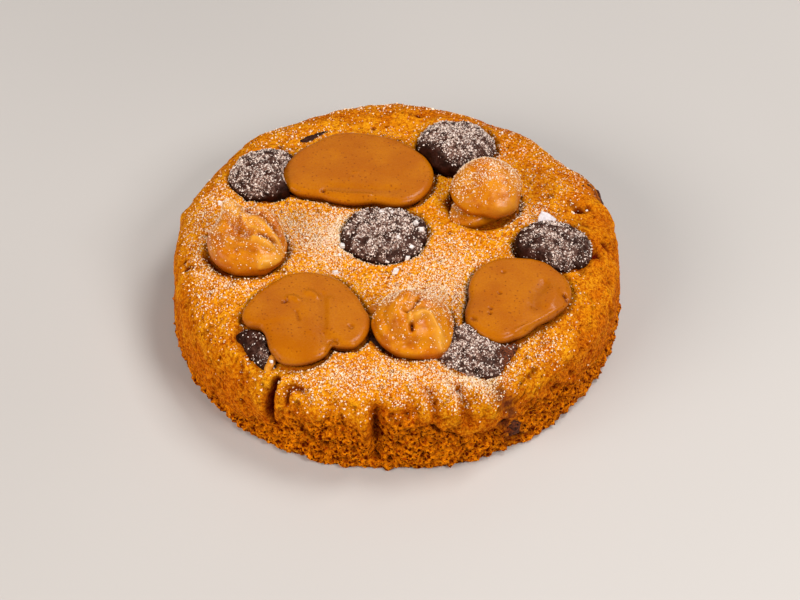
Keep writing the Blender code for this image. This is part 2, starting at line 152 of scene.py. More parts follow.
DROP_PLACES = ((-37.2, -6.9, 9.9), (23.6, 10.8, 9.5), (4.7, -35.1, 9.9))
DROP_PROFILES = (
    (
        (0, 6.4), (0.2, 6.5), (0.42, 7.1), (0.58, 7.4), (0.72, 6.9), (0.86, 5.6), (0.96, 3.9),
        (1.0, 2.2), (0.97, 0.6), (0.8, -1.3), (0, -1.4),
    ),
    (
        (0, 12.0), (0.28, 11.6), (0.55, 10.4), (0.78, 8.5), (0.94, 6.3), (0.97, 4.4),
        (0.88, 2.9), (0.7, 2.1), (0.78, 1.0), (0.8, -0.2), (0.76, -1.3), (0, -1.4),
    ),
    (
        (0, 9.4), (0.16, 9.1), (0.34, 8.5), (0.55, 7.5), (0.76, 5.9), (0.91, 4.3),
        (0.94, 3.3), (1.0, 2.2), (0.98, 0.7), (0.8, -1.3), (0, -1.4),
    ),
)
DROP_LEANS = ((-0.6, 0.8), (0.6, 1.4), (-0.6, 1.2))
DROP_BUMPS = (
    ((-4.2, 6.2, 2.2, 3.6), (1.6, 3.8, 2.4, 1.6), (5.0, 3.4, 2.4, 1.8), (-0.4, 0.4, 2.6, -1.6)),
    ((5.2, -3.4, 3.2, 0.8), (-5.0, -4.2, 2.8, -0.9), (-2.0, 3.0, 3.0, 0.5)),
    ((-1.6, 3.2, 1.7, 1.8), (4.6, 0.2, 2.2, 1.0), (-1.0, -0.8, 1.5, -1.6), (-5.4, -1.2, 2.4, 0.7)),
)
# How each drop's foot spreads: direction, half width, reach, all-round draw, top and fade
DROP_FEET = (
    (-30, 40, 0.6, 0.0, 5.0, 3.0), (-142, 42, 5.4, 2.0, 2.6, 1.4), (-50, 34, 1.6, 0.0, 6.0, 3.5),
)
# Radius of each drop's foot as a share of its own, and the core that doesn't spread
DROP_FOOT_SHARES = (1.0, 0.95, 1.0)
DROP_CORE = 3
DROP_LUMPS = 0.05
DROP_LUMP_LENGTH = 6.0
DROP_RINGS = 84
DROP_SIDES = 150
# Direction and half width in degrees of the side where the painted shadow on the dough round a drop is
# darkest
DROP_SHADOW_SIDE = (-125, 60)
# How far beyond a drop's foot that painted shadow reaches, and over how much it fades
DROP_SHADOW_REACH = 2.6
DROP_SHADOW_FADE = 1.8

BEAD_PLACE = (-5.4, -27.4, 1.7)
BEAD_SHIFT = np.array([0.2, -1.2, -0.2])
# Rings and sides
BEAD_MESH = (24, 40)
BEAD_LUMPS = ((1.6, 0.15, 90),)
FLAKE_PLACE = (39.2, 4.4, 26.1)
# Corners of the flake as (angle, reach), and its thickness
FLAKE_CORNERS = (
    (-104, 2.5), (-29, 2.2), (-5, 2.5), (68, 1.7), (114, 2.6), (153, 2.3), (184, 2.4),
)
FLAKE_THICKNESS = 1.3
FLAKE_TURNS = (52, -5, 6)
# The flake leans on a button, so it stands a little nearer and higher
FLAKE_LEAN = (0, -1.5, 0.8)

# Height of the skin's lower edge round the side, as (angle, height)
SKIN_EDGE = (
    (-170, 4), (-150, 4), (-138, 4.5), (-127, 5.5), (-121, 8), (-116, 13), (-111, 15.5),
    (-106, 17.5), (-101, 15.5), (-97, 12), (-95.4, 8), (-93.5, 15.5), (-89, 16.8), (-85.5, 17),
    (-81.5, 15), (-77.5, 11.5), (-73, 9.6), (-68, 9.4), (-64, 10), (-58, 10.5), (-51, 12),
    (-45, 11.5), (-38, 9.5), (-30, 8.5), (-15, 8), (0, 8), (20, 9), (38, 13), (50, 10),
    (66, 13), (84, 8), (100, 11.5), (118, 7), (134, 11), (150, 8), (172, 5),
)
EDGE_LUMPS = ((3.6, 2.4, 5), (1.5, 1.8, 6))
# Unevenness of the crease round the toppings
CREASE_LUMPS = ((2.6, 0.5, 12), (1.2, 0.35, 13))
# Folds, grooves and cracks of the side: points as (angle, height), width and height in mm
SIDE_STROKES = (
    (((-120.2, 21.6), (-121.2, 18), (-121.4, 14), (-120.8, 10.5), (-119.4, 8.8)), 0.75, -3.2),
    (((-123.8, 21.5), (-124.2, 15), (-123, 9)), 2.0, 0.8),
    (((-118.4, 21.5), (-118.2, 15), (-117.4, 9.8)), 1.1, 0.9),
    (((-116.2, 17.4), (-116.8, 19.2), (-116.4, 20.8), (-115.2, 21.6), (-113.4, 21.4)), 0.6, -1.4),
    (((-114.6, 18.4), (-113.4, 19.4)), 1.7, 1.2),
    (((-112.7, 10.9), (-111.3, 8.7), (-109.5, 7.2)), 0.8, -1.9),
    (((-109.4, 21.5), (-108.6, 17.0), (-107.0, 12.6)), 2.2, 0.6),
    (((-103.0, 22.0), (-99.8, 21.4), (-98.2, 19.8), (-97.4, 17.0), (-97.0, 12.0), (-96.9, 7.4)),
     1.5, 1.4),
    (((-94.7, 19.8), (-94.2, 16), (-94.2, 12), (-94.0, 7.4), (-94.6, 3.5)), 1.5, -2.3),
    (((-95.1, 18.6), (-94.9, 13.0), (-94.8, 8.6)), 0.7, -1.2),
    (((-93.6, 22.2), (-91.5, 21.8), (-89.6, 21.5), (-87.4, 21.7), (-85.1, 22.1)), 0.8, 1.1),
    (((-92.6, 19.2), (-89.4, 18.2), (-86.6, 19.0)), 1.5, -1.7),
    (((-84.6, 23.4), (-83.0, 21.4), (-82.4, 18.6), (-82.8, 16.2)), 1.2, 1.5),
    (((-81.2, 22.8), (-80.3, 20.0), (-79.6, 17.0)), 1.2, -1.4),
    (((-78.0, 23.4), (-76.4, 21.3), (-75.4, 18.0), (-75.2, 14.0)), 1.4, 1.6),
    (((-73.6, 22.4), (-72.8, 18.5), (-72.4, 13.5)), 1.2, -1.3),
    (((-70.8, 22.8), (-68.3, 20.5), (-66.4, 16.8), (-65.8, 12.8)), 1.6, 1.4),
    (((-63.4, 20.6), (-62.4, 17.0), (-62.2, 13.6)), 1.1, -0.9),
    (((-81.8, 15.2), (-78.9, 12.0), (-76.6, 10.8), (-74.8, 10.2)), 0.6, -1.8),
    (((-69.4, 8.0), (-67.2, 7.5), (-65.0, 7.2)), 1.0, -2.0),
    (((-59.5, 4.2), (-58.0, 2.4)), 1.0, -2.0),
    (((-63.6, 10.6), (-62.8, 9.6)), 1.3, -1.0),
    (((-139.5, 4.6), (-137.4, 2.6)), 1.0, -2.2),
    (((-46.9, 12.4), (-45.9, 11.7)), 0.9, -1.9),
    (((-45.2, 6.6), (-44.3, 6.1)), 0.8, -1.8),
    (((-41.7, 13.7), (-41.1, 13.1)), 0.7, -1.5),
    (((34.8, 19.0), (33.6, 16.4), (34.9, 13.2), (33.8, 10.6)), 0.7, -1.5),
    (((78.0, 18.6), (79.4, 16.0), (78.4, 13.4), (80.0, 10.2)), 0.7, -1.5),
    (((110.2, 11.8), (112.0, 9.8), (111.8, 7.4), (113.6, 5.2)), 0.7, -1.4),
    (((149.8, 15.0), (148.2, 13.2), (148.4, 11.0), (146.8, 9.0)), 0.7, -1.3),
    (((50, 18), (52, 14), (51, 10)), 1.8, 0.7),
    (((92, 18), (94, 14), (92.5, 9)), 1.8, 0.7),
    (((128, 18), (126, 14), (127, 9)), 1.8, 0.7),
    (((165, 18), (167, 14), (166, 9)), 1.8, 0.7),
    (((-18, 21), (-20, 16), (-19, 11)), 1.6, 0.6),
    (((14, 21), (12, 16), (13, 11)), 1.6, 0.7),
    (((-170.6, 1.0), (-168.0, 1.6)), 1.4, 1.3),
    (((-32.4, 9.2), (-31.8, 9.0)), 0.5, 1.6),
)
# How often the corners of a line are cut off
CORNER_CUTS = 2
# Heights of all folds are scaled by this, and narrow ones get full painted shade at this depth
FOLD_STRENGTH = 1.25
FOLD_DARKEST = 2.2
# Radius, depth and the depth at which a pit gets full painted shade
SIDE_PIT = (0.75, 1.5, 1.5)
# Deep pits of the side: angle and height
SIDE_PITS = (
    (-83.2, 4.6), (-79.8, 8.1), (-74.1, 2.0), (-91.0, 3.1), (-88.9, 8.8), (-68.2, 7.5),
    (-66.1, 7.4), (-58.3, 2.4), (-63.1, 10.4), (-65.2, 16.0), (-104.2, 1.9), (-107.7, 3.3),
    (-106.4, 6.3), (-111.7, 4.5), (-101.8, 2.4), (-93.9, 2.9), (-127.0, 2.5), (-123.7, 1.4),
    (-138.4, 3.5), (-136.5, 2.6), (-139.0, 1.3), (-73.6, 8.6), (-73.2, 6.0), (-72.6, 4.0),
)
# Patches of the side that melted chocolate has browned: angle, height, radius and strength
SMEARS = (
    (-63.1, 10.0, 2.0, 0.9), (-61.0, 8.6, 2.2, 0.9), (-60.4, 5.4, 2.4, 1.0), (-58.0, 3.0, 1.8, 0.8),
    (-64.8, 22.4, 1.9, 0.75), (-63.6, 19.6, 2.3, 0.8), (-62.2, 16.4, 2.3, 0.85),
    (-61.2, 13.0, 2.1, 0.85),
    (29.8, 21.5, 1.3, 0.6), (27.2, 21.2, 1.5, 0.8), (24.2, 20.8, 1.6, 0.9), (21.2, 20.4, 1.6, 0.9),
    (18.6, 20.0, 1.5, 0.9), (16.4, 19.6, 1.2, 0.7),
)
# Single pores of the top: x, y, radius and depth
TOP_PORES = (
    (-53.8, -7.4, 0.7, 1.0), (-52.9, -10.2, 0.9, 1.3), (-51.2, -11.0, 0.6, 1.0),
    (-47.9, -1.2, 0.6, 0.8), (54.2, -2.4, 1.05, 1.6), (51.6, -7.1, 1.05, 1.6),
    (6.6, 47.1, 0.8, 1.3), (1.1, 36.4, 0.6, 1.0), (-6.0, 41.2, 0.5, 0.7),
    (-42.8, 34.2, 0.7, 0.9), (-30.7, 33.4, 0.7, 0.9), (48.4, 9.4, 1.3, 5.0),
    (51.0, 10.7, 0.8, 2.0), (46.6, 11.4, 1.7, 1.1), (48.4, 3.4, 2.2, 0.8),
    (46.4, -30.2, 0.4, 0.7), (38.6, -37.0, 0.4, 0.7),
)

# Wider ones are hollows, which get full painted shade at this depth
HOLLOW_RADIUS = 1.5
HOLLOW_DARKEST = 1.6
# Random pores: spacing, chance in the crumb and seed
RANDOM_PORES = ((1.5, 0.5, 21), (1.1, 0.45, 31), (2.2, 0.16, 41))
# Depth as a share of the spacing, and strength of the painted shade in a pore
PORE_DEPTH = 0.55
PORE_DARKNESS = 0.8
# Browner parts of the side: angle, half width, height where they end and strength
TANNED_SIDES = ((-132, 24, 20, 0.4), (-37, 20, 27, 0.42))
# Sugar on the dough: x, y, spread along X and Y, and amount
SUGAR_SPOTS = (
    (-14, -3, 9, 9, 0.8), (-27, 4, 10, 7, 0.4), (-30, -4, 14, 10, 0.15), (-13, 3, 5, 5, 0.3),
    (12, -10, 11, 8, 0.45), (-14, -6, 4, 4, 0.3), (6, -21, 11, 5, 0.55), (14, -26, 6, 8, 0.35),
    (34, 7, 7, 5, 0.3), (24, 22, 6, 7, 0.1), (2, -49, 16, 3.5, 0.35), (20, -51, 9, 3.2, 0.85),
    (-14, -50, 10, 3, 0.16), (-44, 6, 6, 12, 0.22), (-51, 4, 6, 16, 0.14),
    (-46, -15, 7, 8, 0.25), (40, -40, 9, 6, 0.3), (49, 22, 7, 8, 0.12), (-38, -19, 8, 6, 0.2),
    (0, 46, 30, 5, -0.12), (-46, 32, 10, 10, -0.15), (55, 0, 8, 30, -0.26),
    (-57, -18, 5, 22, -0.2), (46, -32, 9, 9, -0.06),
)
# Piece, number of grains, smallest and largest size
SUGAR_ON_DOUGH = (("sugar_on_dough", 15000, 0.16, 0.38), ("coarse_sugar_on_dough", 1600, 0.38, 0.58))
# Piece, grains for each square millimetre with full sugar, smallest and largest size
SUGAR_ON_TOPPINGS = (("sugar_on_buttons", 7.0, 0.13, 0.52), ("sugar_on_drops", 7.6, 0.14, 0.42))

TONGUE_PLACE = (-29.7, -44.5, 23.7)
TONGUE_TURNS = (29, 0, -28)
TONGUE_RADII = np.array([1.05, 2.95, 0.85])
TONGUE_MESH = (20, 28)
TONGUE_LUMPS = ((1.3, 0.3, 92),)

# Camera, lights and floor, in metres and watts
CAMERA_ELEVATION = 45.2
CAMERA_DISTANCE = 0.5
CAMERA_TARGET = (0.0013, -0.0016, 0)
TARGET_PIXEL = (399.7, 305.6)
FOCAL_PIXELS = 1880
IMAGE_SIZE = (800, 600)
SENSOR = 36
CAMERA_CLIP_START = 0.01

# Name, place, height looked at, size, power and colour
LIGHTS = (
    ("key", (0.42, 0.22, 0.85), 0.01, (0.36, 0.36), 5.15, (1.0, 0.98, 0.955)),
    ("window", (0.49, -0.42, 0.58), 0.01, (0.28, 0.28), 4.15, (1.0, 0.985, 0.97)),
    ("fill", (-0.6, -0.5, 0.5), 0.01, (0.6, 0.4), 5.4, (1.0, 0.96, 0.91)),
    ("left", (-0.75, -0.25, 0.42), 0.02, (0.3, 0.2), 1.2, (1.0, 0.93, 0.9)),
    ("sky", (0.05, 0.75, 0.7), 0.02, (0.9, 0.5), 0.6, (0.94, 0.97, 1.0)),
)
ROOM_COLOUR = (1.0, 0.99, 0.98, 1)
ROOM_STRENGTH = 0.12
FLOOR_HALF = 3.0
FLOOR_DROP = 0.0001


# Numbers and noise


def between_0_and_1(values):
    return np.clip(values, 0, 1)


def eased(values, low, high):
    """A smooth step from 0 at low to 1 at high."""
    share = between_0_and_1((values - low) / (high - low))
    return share * share * (3 - 2 * share)


def hump(values, centre, width):
    """A smooth bump of height 1 at the centre."""
    return np.exp(-(((values - centre) / width) ** 2))


def degrees_between(first, second):
    return (first - second + 180) % 360 - 180


def round_hump(degrees, centre, half_width):
    """A smooth bump of height 1 round one direction."""
    return hump(degrees_between(degrees, centre), 0, half_width)


def bearing(x, y):
    """Direction of points in plan, in degrees from +X towards +Y."""
    return np.degrees(np.arctan2(y, x))


def polar(radii, angles, heights):
    """Points from distances to the axis, angles in radians and heights."""
    x, y = radii * np.cos(angles), radii * np.sin(angles)
    return np.stack(np.broadcast_arrays(x, y, heights), axis=-1)


def distances(points, spot):
    return np.linalg.norm(points - spot, axis=1)


def curved(share, start, leaving, end, arriving):
    """A smooth curve between two values with the given slopes at its ends."""
    cube, square = share**3, share**2
    return (
        (2 * cube - 3 * square + 1) * start + (cube - 2 * square + share) * leaving
        + (3 * square - 2 * cube) * end + (cube - square) * arriving
    )


def scattered(cells, seed):
    """A number from 0 to 1 for each whole-number cell, always the same for the same seed."""
    whole = cells.astype(np.int64).astype(np.uint32)
    mixed = whole[..., 0] * np.uint32(374761393)
    mixed = mixed + whole[..., 1] * np.uint32(668265263)
    mixed = mixed + whole[..., 2] * np.uint32(2246822519)
    mixed = mixed + np.uint32(seed * 3266489917 % 2**32)
    for shift, factor in ((15, 2246822519), (13, 3266489917)):
        mixed = (mixed ^ (mixed >> np.uint32(shift))) * np.uint32(factor)
    return (mixed ^ (mixed >> np.uint32(16))) / 4294967295.0


def lumps(points, size, seed):
    """Gradient noise from about -1 to 1 with lumps of the given size."""
    spots = points / size
    base = np.floor(spots)
    within = spots - base
    fade = within**3 * (within * (within * 6 - 15) + 10)
    total = np.zeros(len(spots))
    for corner in np.ndindex(2, 2, 2):
        corner = np.array(corner)
        weight = np.prod(np.where(corner, fade, 1 - fade), axis=1)
        slope = sum(
            (2 * scattered(base + corner, seed + 7 * axis) - 1) * (within - corner)[:, axis]
            for axis in range(3)
        )
        total += weight * slope
    return 1.6 * total


def layered(points, layers):
    """Lumps of several sizes, given as (size, height, seed), added up."""
    return sum(height * lumps(points, size, seed) for size, height, seed in layers)


def rough(points, size, octaves, seed):
    """Lumps with finer lumps on them."""
    return sum(lumps(points, size / 2**i, seed + 31 * i) / 2**i for i in range(octaves))


def distance_to_line(points, line):
    """Shortest distance from each point to a line of straight stretches."""
    best = np.full(len(points), np.inf)
    for start, end in zip(line[:-1], line[1:]):
        along = end - start
        share = between_0_and_1((points - start) @ along / max(along @ along, 1e-9))
        best = np.minimum(best, np.linalg.norm(points - start - share[:, None] * along, axis=1))
    return best


def rounded(line):
    """The same line with its corners cut off, and the new corners too."""
    for _ in range(CORNER_CUTS if len(line) > 2 else 0):
        before, after = line[:-1], line[1:]
        cut = np.stack([0.75 * before + 0.25 * after, 0.25 * before + 0.75 * after], axis=1)
        cut = cut.reshape(-1, line.shape[1])
        line = np.concatenate([line[:1], cut[1:-1], line[-1:]])
    return line


def stroke(points, line, width, height):
    """Height of a ridge, or depth of a groove, that follows a line."""
    line = rounded(np.asarray(line, float))
    reach = 3 * width
    near = np.all((points > line.min(axis=0) - reach) & (points < line.max(axis=0) + reach), axis=1)
    push = np.zeros(len(points))
    push[near] = height * hump(distance_to_line(points[near], line), 0, width)
    return push


def warped(points, size, amount, seed):
    """The same points, shaken by lumps so that what follows a line there is uneven."""
    shift = np.stack([lumps(points, size, seed + 3 * axis) for axis in range(3)], axis=1)
    return points + amount * shift


# The plain shapes


def body_radius(degrees):
    radius = np.full(np.shape(degrees), BODY_RADIUS)
    for centre, half_width, height in OUTLINE_LOBES:
        radius = radius + height * round_hump(degrees, centre, half_width)
    return radius


def dough_level(x, y):
    """Height of the dough's plain top at points in plan."""
    reach = np.hypot(x, y)
    flat = body_radius(bearing(x, y)) - SHOULDER_REACH
    turn = between_0_and_1((reach - flat) / SHOULDER_REACH)
    drop = SHOULDER_DROP * (1 - np.sqrt(1 - turn * turn))
    return BODY_HEIGHT - drop - TOP_DISH * np.maximum(0, 1 - (reach / flat) ** 2)


def skin_swell(degrees, height):
    swell = 0
    for centre, half_width, lower_edge, proud in SKIN_LOBES:
        rise = between_0_and_1((height - lower_edge) / SKIN_RISE)
        fade = between_0_and_1((BODY_HEIGHT - height) / SKIN_FADE)
        swell = swell + proud * rise * fade * round_hump(degrees, centre, half_width)
    return swell


def body_profile():
    """Radii, heights and distances travelled from the middle of the top to the foot."""
    turn = np.radians(np.linspace(90, 0, SHOULDER_STEPS))
    shoulder_r = FLAT_RADIUS + SHOULDER_REACH * np.cos(turn)
    shoulder_z = BODY_HEIGHT - SHOULDER_DROP * (1 - np.sin(turn))
    wall_z = np.linspace(WALL_TOP, FOOT_HEIGHT, WALL_STEPS)[1:]
    wall_r = BODY_RADIUS + FOOT_FLARE * (1 - wall_z / WALL_TOP)
    foot_turn = np.linspace(0, 1, FOOT_STEPS)[1:]
    foot_z = FOOT_HEIGHT * (1 - foot_turn)
    foot_r = wall_r[-1] - FOOT_INSET * foot_turn**2.5
    radii = np.concatenate([[0], shoulder_r, wall_r, foot_r])
    heights = np.concatenate([[BODY_HEIGHT], shoulder_z, wall_z, foot_z])
    travelled = np.concatenate([[0], np.cumsum(np.hypot(np.diff(radii), np.diff(heights)))])
    return radii, heights, travelled


PROFILE_R, PROFILE_Z, TRAVELLED = body_profile()
SHOULDER_END = float(np.interp(-WALL_TOP, -PROFILE_Z, TRAVELLED))


def side_points(line):
    """Points on the plain side from (angle, height) pairs."""
    angles = np.radians([angle for angle, _ in line])
    heights = np.array([height for _, height in line], float)
    radii = np.interp(-heights, -PROFILE_Z, PROFILE_R)
    radii = radii * body_radius(np.degrees(angles)) / BODY_RADIUS
    radii = radii + skin_swell(np.degrees(angles), heights)
    return polar(radii, angles, heights)


def slab_reaches():
    """For each slab, its outline's distance from the middle at each degree."""
    tables = []
    for (middle_x, middle_y), outline in zip(SLAB_MIDDLES, SLAB_OUTLINES):
        polar = sorted(
            (math.atan2(y - middle_y, x - middle_x), math.hypot(x - middle_x, y - middle_y))
            for x, y in outline
        )
        count = len(polar)
        table = []
        for degrees in range(-180, 181):
            angle = math.radians(degrees)
            after = next((i for i, (turn, _) in enumerate(polar) if turn > angle), 0)
            knots = [polar[(after + step) % count] for step in (-2, -1, 0, 1)]
            span = (knots[2][0] - knots[1][0]) % (2 * math.pi)
            share = ((angle - knots[1][0]) % (2 * math.pi)) / span
            before, start, end, beyond = (knot[1] for knot in knots)
            table.append(curved(share, start, (end - before) / 2, end, (beyond - start) / 2))
        tables.append(np.array(table))
    return tables


SLAB_REACHES = slab_reaches()


def slab_reach(number, degrees):
    return np.interp(degrees_between(degrees, 0), np.arange(-180, 181), SLAB_REACHES[number])


def outside_slab(number, x, y):
    """How far points in plan lie outside a slab's outline, negative inside."""
    across, along = x - SLAB_MIDDLES[number][0], y - SLAB_MIDDLES[number][1]
    return np.hypot(across, along) - slab_reach(number, bearing(across, along))


def beyond_covers(number, x, y):
    """How far points in plan lie beyond the lines where dough covers a button."""
    beyond = np.full(len(x), -BODY_RADIUS)
    for covered, line_x, line_y, direction in BUTTON_COVERS:
        if covered == number:
            turn = math.radians(direction)
            across = (x - line_x) * math.cos(turn) + (y - line_y) * math.sin(turn)
            beyond = np.maximum(beyond, across)
    return beyond


def outside_button(number, x, y):
    """How far points in plan lie outside the open part of a button."""
    centre_x, centre_y, _, width, depth = BUTTON_PLACES[number - 1][:5]
    share = np.hypot((x - centre_x) / (width / 2), (y - centre_y) / (depth / 2))
    return np.maximum((share - 1) * (width + depth) / 4, beyond_covers(number, x, y))


def outside_drop(number, x, y):
    centre_x, centre_y, radius = DROP_PLACES[number]
    return np.hypot(x - centre_x, y - centre_y) - radius * DROP_FOOT_SHARES[number]


def drop_shadow_ring(x, y):
    """Painted shadow on the dough round the drops, strongest at their front left, from 0 to 1."""
    ring = np.zeros(len(x))
    for number, (centre_x, centre_y, _) in enumerate(DROP_PLACES):
        side = round_hump(bearing(x - centre_x, y - centre_y), *DROP_SHADOW_SIDE)
        near = eased(DROP_SHADOW_REACH - outside_drop(number, x, y), 0, DROP_SHADOW_FADE)
        ring = np.maximum(ring, side * near)
    return ring


def outside_toppings(x, y):
    """How far points in plan lie outside the nearest topping."""
    reaches = [outside_slab(number, x, y) for number in range(3)]
    reaches += [outside_button(1 + i, x, y) for i in range(len(BUTTON_PLACES))]
    reaches += [outside_drop(number, x, y) for number in range(3)]
    return np.minimum.reduce(reaches)


# Meshes


def linked(name, data):
    """A new object in the scene."""
    obj = bpy.data.objects.new(name, data)
    bpy.context.scene.collection.objects.link(obj)
    return obj


def make_mesh(name, points, faces, material):
    mesh = bpy.data.meshes.new(name)
    mesh.from_pydata(points, [], faces)
    mesh.materials.append(material)
    return mesh


def make_object(name, points, faces, material, slot, smooth=True, **looks):
    """A piece from points in millimetres, riding on the cookie. Looks are limited to 0 to 1."""
    mesh = make_mesh(name, (points * MM).tolist(), faces, material)
    for key, values in looks.items():
        layer = mesh.attributes.new(key, "FLOAT", "POINT")
        shares = between_0_and_1(values + np.zeros(len(points)))
        layer.data.foreach_set("value", shares.astype(np.float32))
    if smooth:
        mesh.shade_smooth()
    obj = linked(name, mesh)
    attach(obj, "root")
    return obj


def face_array(faces):
    """Faces of three or four corners as one array of triangles."""
    triangles = []
    quads = np.array([face for face in faces if len(face) == 4])
    if len(quads):
        triangles += [quads[:, (0, 1, 2)], quads[:, (0, 2, 3)]]
    threes = np.array([face for face in faces if len(face) == 3])
    if len(threes):
        triangles.append(threes)
    return np.concatenate(triangles)


def point_normals(points, faces):
    """Smooth outward directions at each point."""
    triangles = face_array(faces)
    a, b, c = (points[triangles[:, i]] for i in range(3))
    across = np.cross(b - a, c - a)
    normals = np.zeros((len(points), 3))
    for axis in range(3):
        for corner in range(3):
            normals[:, axis] += np.bincount(
                triangles[:, corner], weights=across[:, axis], minlength=len(points)
            )
    return normals / np.maximum(np.linalg.norm(normals, axis=1), 1e-12)[:, None]


def spun(profile, sides):
    """A closed solid turned from (radius, height) points whose two ends lie on the axis."""
    angles = np.linspace(0, 2 * math.pi, sides, endpoint=False)
    rings = [polar(radius, angles, height) for radius, height in profile[1:-1]]
    points = np.concatenate([[(0, 0, profile[0][1])], *rings, [(0, 0, profile[-1][1])]])
    bottom = len(points) - 1
    last = bottom - sides
    neighbours = [(i, (i + 1) % sides) for i in range(sides)]
    faces = [(0, 1 + i, 1 + j) for i, j in neighbours]
    for upper in range(1, last, sides):
        lower = upper + sides
        faces += [(upper + i, lower + i, lower + j, upper + j) for i, j in neighbours]
    return points, faces + [(last + i, bottom, last + j) for i, j in neighbours]


def smoothed_profile(profile, count):
    """More points on a smooth curve through the given ones."""
    knots = np.array(profile, float)
    lengths = np.concatenate([[0], np.cumsum(np.linalg.norm(np.diff(knots, axis=0), axis=1))])
    slopes = np.gradient(knots, lengths, axis=0)
    slopes[0, 1] = 0
    result = []
    for at in np.linspace(0, lengths[-1], count):
        i = min(np.searchsorted(lengths, at, side="right") - 1, len(knots) - 2)
        span = lengths[i + 1] - lengths[i]
        share = (at - lengths[i]) / span
        leaving, arriving = span * slopes[i], span * slopes[i + 1]
        result.append(curved(share, knots[i], leaving, knots[i + 1], arriving))
    result = np.array(result)
    result[:, 0] = np.maximum(result[:, 0], 0)
    result[0, 0] = result[-1, 0] = 0
    return result


def turns(about_x, about_y, about_z):
    return (
        Matrix.Rotation(math.radians(about_z), 4, "Z")
        @ Matrix.Rotation(math.radians(about_y), 4, "Y")
        @ Matrix.Rotation(math.radians(about_x), 4, "X")
    )


def placed(points, place, *angles):
    """The points, turned about X, Y and Z in degrees and then moved."""
    matrix = np.array(Matrix.Translation(place) @ turns(*angles))
    return points @ matrix[:3, :3].T + matrix[:3, 3]


# Materials


class Recipe:
    """A procedural material that is built up node by node."""

    def __init__(self, name, roughness, shine=0.5):
        self.material = bpy.data.materials.new(name)
        self.material.use_nodes = True
        self.nodes = self.material.node_tree.nodes
        self.links = self.material.node_tree.links
        self.shader = self.nodes["Principled BSDF"]
        self.shader.inputs["Roughness"].default_value = roughness
        self.shader.inputs["Specular IOR Level"].default_value = shine
        self.place = self.nodes.new("ShaderNodeTexCoord").outputs["Object"]

    def fed(self, node, inputs, output):
        """An output of a node, once each input has its number, its colour or its link."""
        for key, value in inputs.items():
            socket = node.inputs[key]
            if isinstance(value, (int, float)):
                socket.default_value = value
            elif isinstance(value, tuple):
                socket.default_value = screen(*value)
            else:
                self.links.new(value, socket)
        return node.outputs[output]

    def noise(self, size, detail=3.0, rough=0.55):
        """Cloudy noise with patches of the given size in millimetres."""
        inputs = {"Vector": self.place, "Scale": 1 / (size * MM), "Detail": detail, "Roughness": rough}
        return self.fed(self.nodes.new("ShaderNodeTexNoise"), inputs, "Fac")

    def cells(self, size):
        """Distance to the middle of the nearest of many cells of about the given size."""
        inputs = {"Vector": self.place, "Scale": 1 / (size * MM)}
        return self.fed(self.nodes.new("ShaderNodeTexVoronoi"), inputs, "Distance")

    def attribute(self, name):
        node = self.nodes.new("ShaderNodeAttribute")
        node.attribute_name = name
        return node.outputs["Fac"]

    def stepped(self, value, low, high, bottom=0.0, top=1.0):
        """A smooth step of a value, from bottom at low to top at high."""
        node = self.nodes.new("ShaderNodeMapRange")
        node.interpolation_type = "SMOOTHSTEP"
        inputs = {"Value": value, "From Min": low, "From Max": high, "To Min": bottom, "To Max": top}
        return self.fed(node, inputs, "Result")

    def maths(self, operation, first, second):
        node = self.nodes.new("ShaderNodeMath")
        node.operation = operation
        return self.fed(node, {0: first, 1: second}, "Value")

    def times(self, first, second):
        return self.maths("MULTIPLY", first, second)

    def greater(self, first, second):
        return self.maths("MAXIMUM", first, second)

    def mixed(self, factor, first, second):
        """A colour between two colours or colour outputs."""
        node = self.nodes.new("ShaderNodeMix")
        node.data_type = "RGBA"
        return self.fed(node, {"Factor": factor, 6: first, 7: second}, 2)

    def tinted(self, colour, name, tint):
        """The colour, turned to a tint as far as an attribute says."""
        return self.mixed(self.attribute(name), colour, tint)

    def sugared(self, colour, dust, amount, tint):
        """The colour under a patchy film of sugar."""
        film = self.times(dust, self.attribute("sugar"))
        return self.mixed(self.times(film, amount), colour, tint)

    def bumped(self, height, distance, under=None):
        inputs = {"Height": height, "Distance": distance * MM}
        if under:
            inputs["Normal"] = under
        return self.fed(self.nodes.new("ShaderNodeBump"), inputs, "Normal")

    def finish(self, colour, roughness=None, normal=None):
        inputs = {"Base Color": colour, "Roughness": roughness, "Normal": normal}
        self.fed(self.shader, {key: value for key, value in inputs.items() if value}, "BSDF")
        return self.material

    def finish_uneven(self, colour, waves, fine, fine_height, smoothest, roughest):
        """Finishes a surface with waves of a size, detail and height, and fine grain on them."""
        size, detail, height = waves
        normal = self.bumped(fine, fine_height, self.bumped(self.noise(size, detail), height))
        return self.finish(colour, self.stepped(fine, 0.3, 0.7, smoothest, roughest), normal)


def screen(red, green, blue):
    """A colour given as 0 to 255 screen values, as the shader wants it."""
    shares = [channel / 255 for channel in (red, green, blue)]
    return tuple(s / 12.92 if s < 0.04 else ((s + 0.055) / 1.055) ** 2.4 for s in shares) + (1.0,)


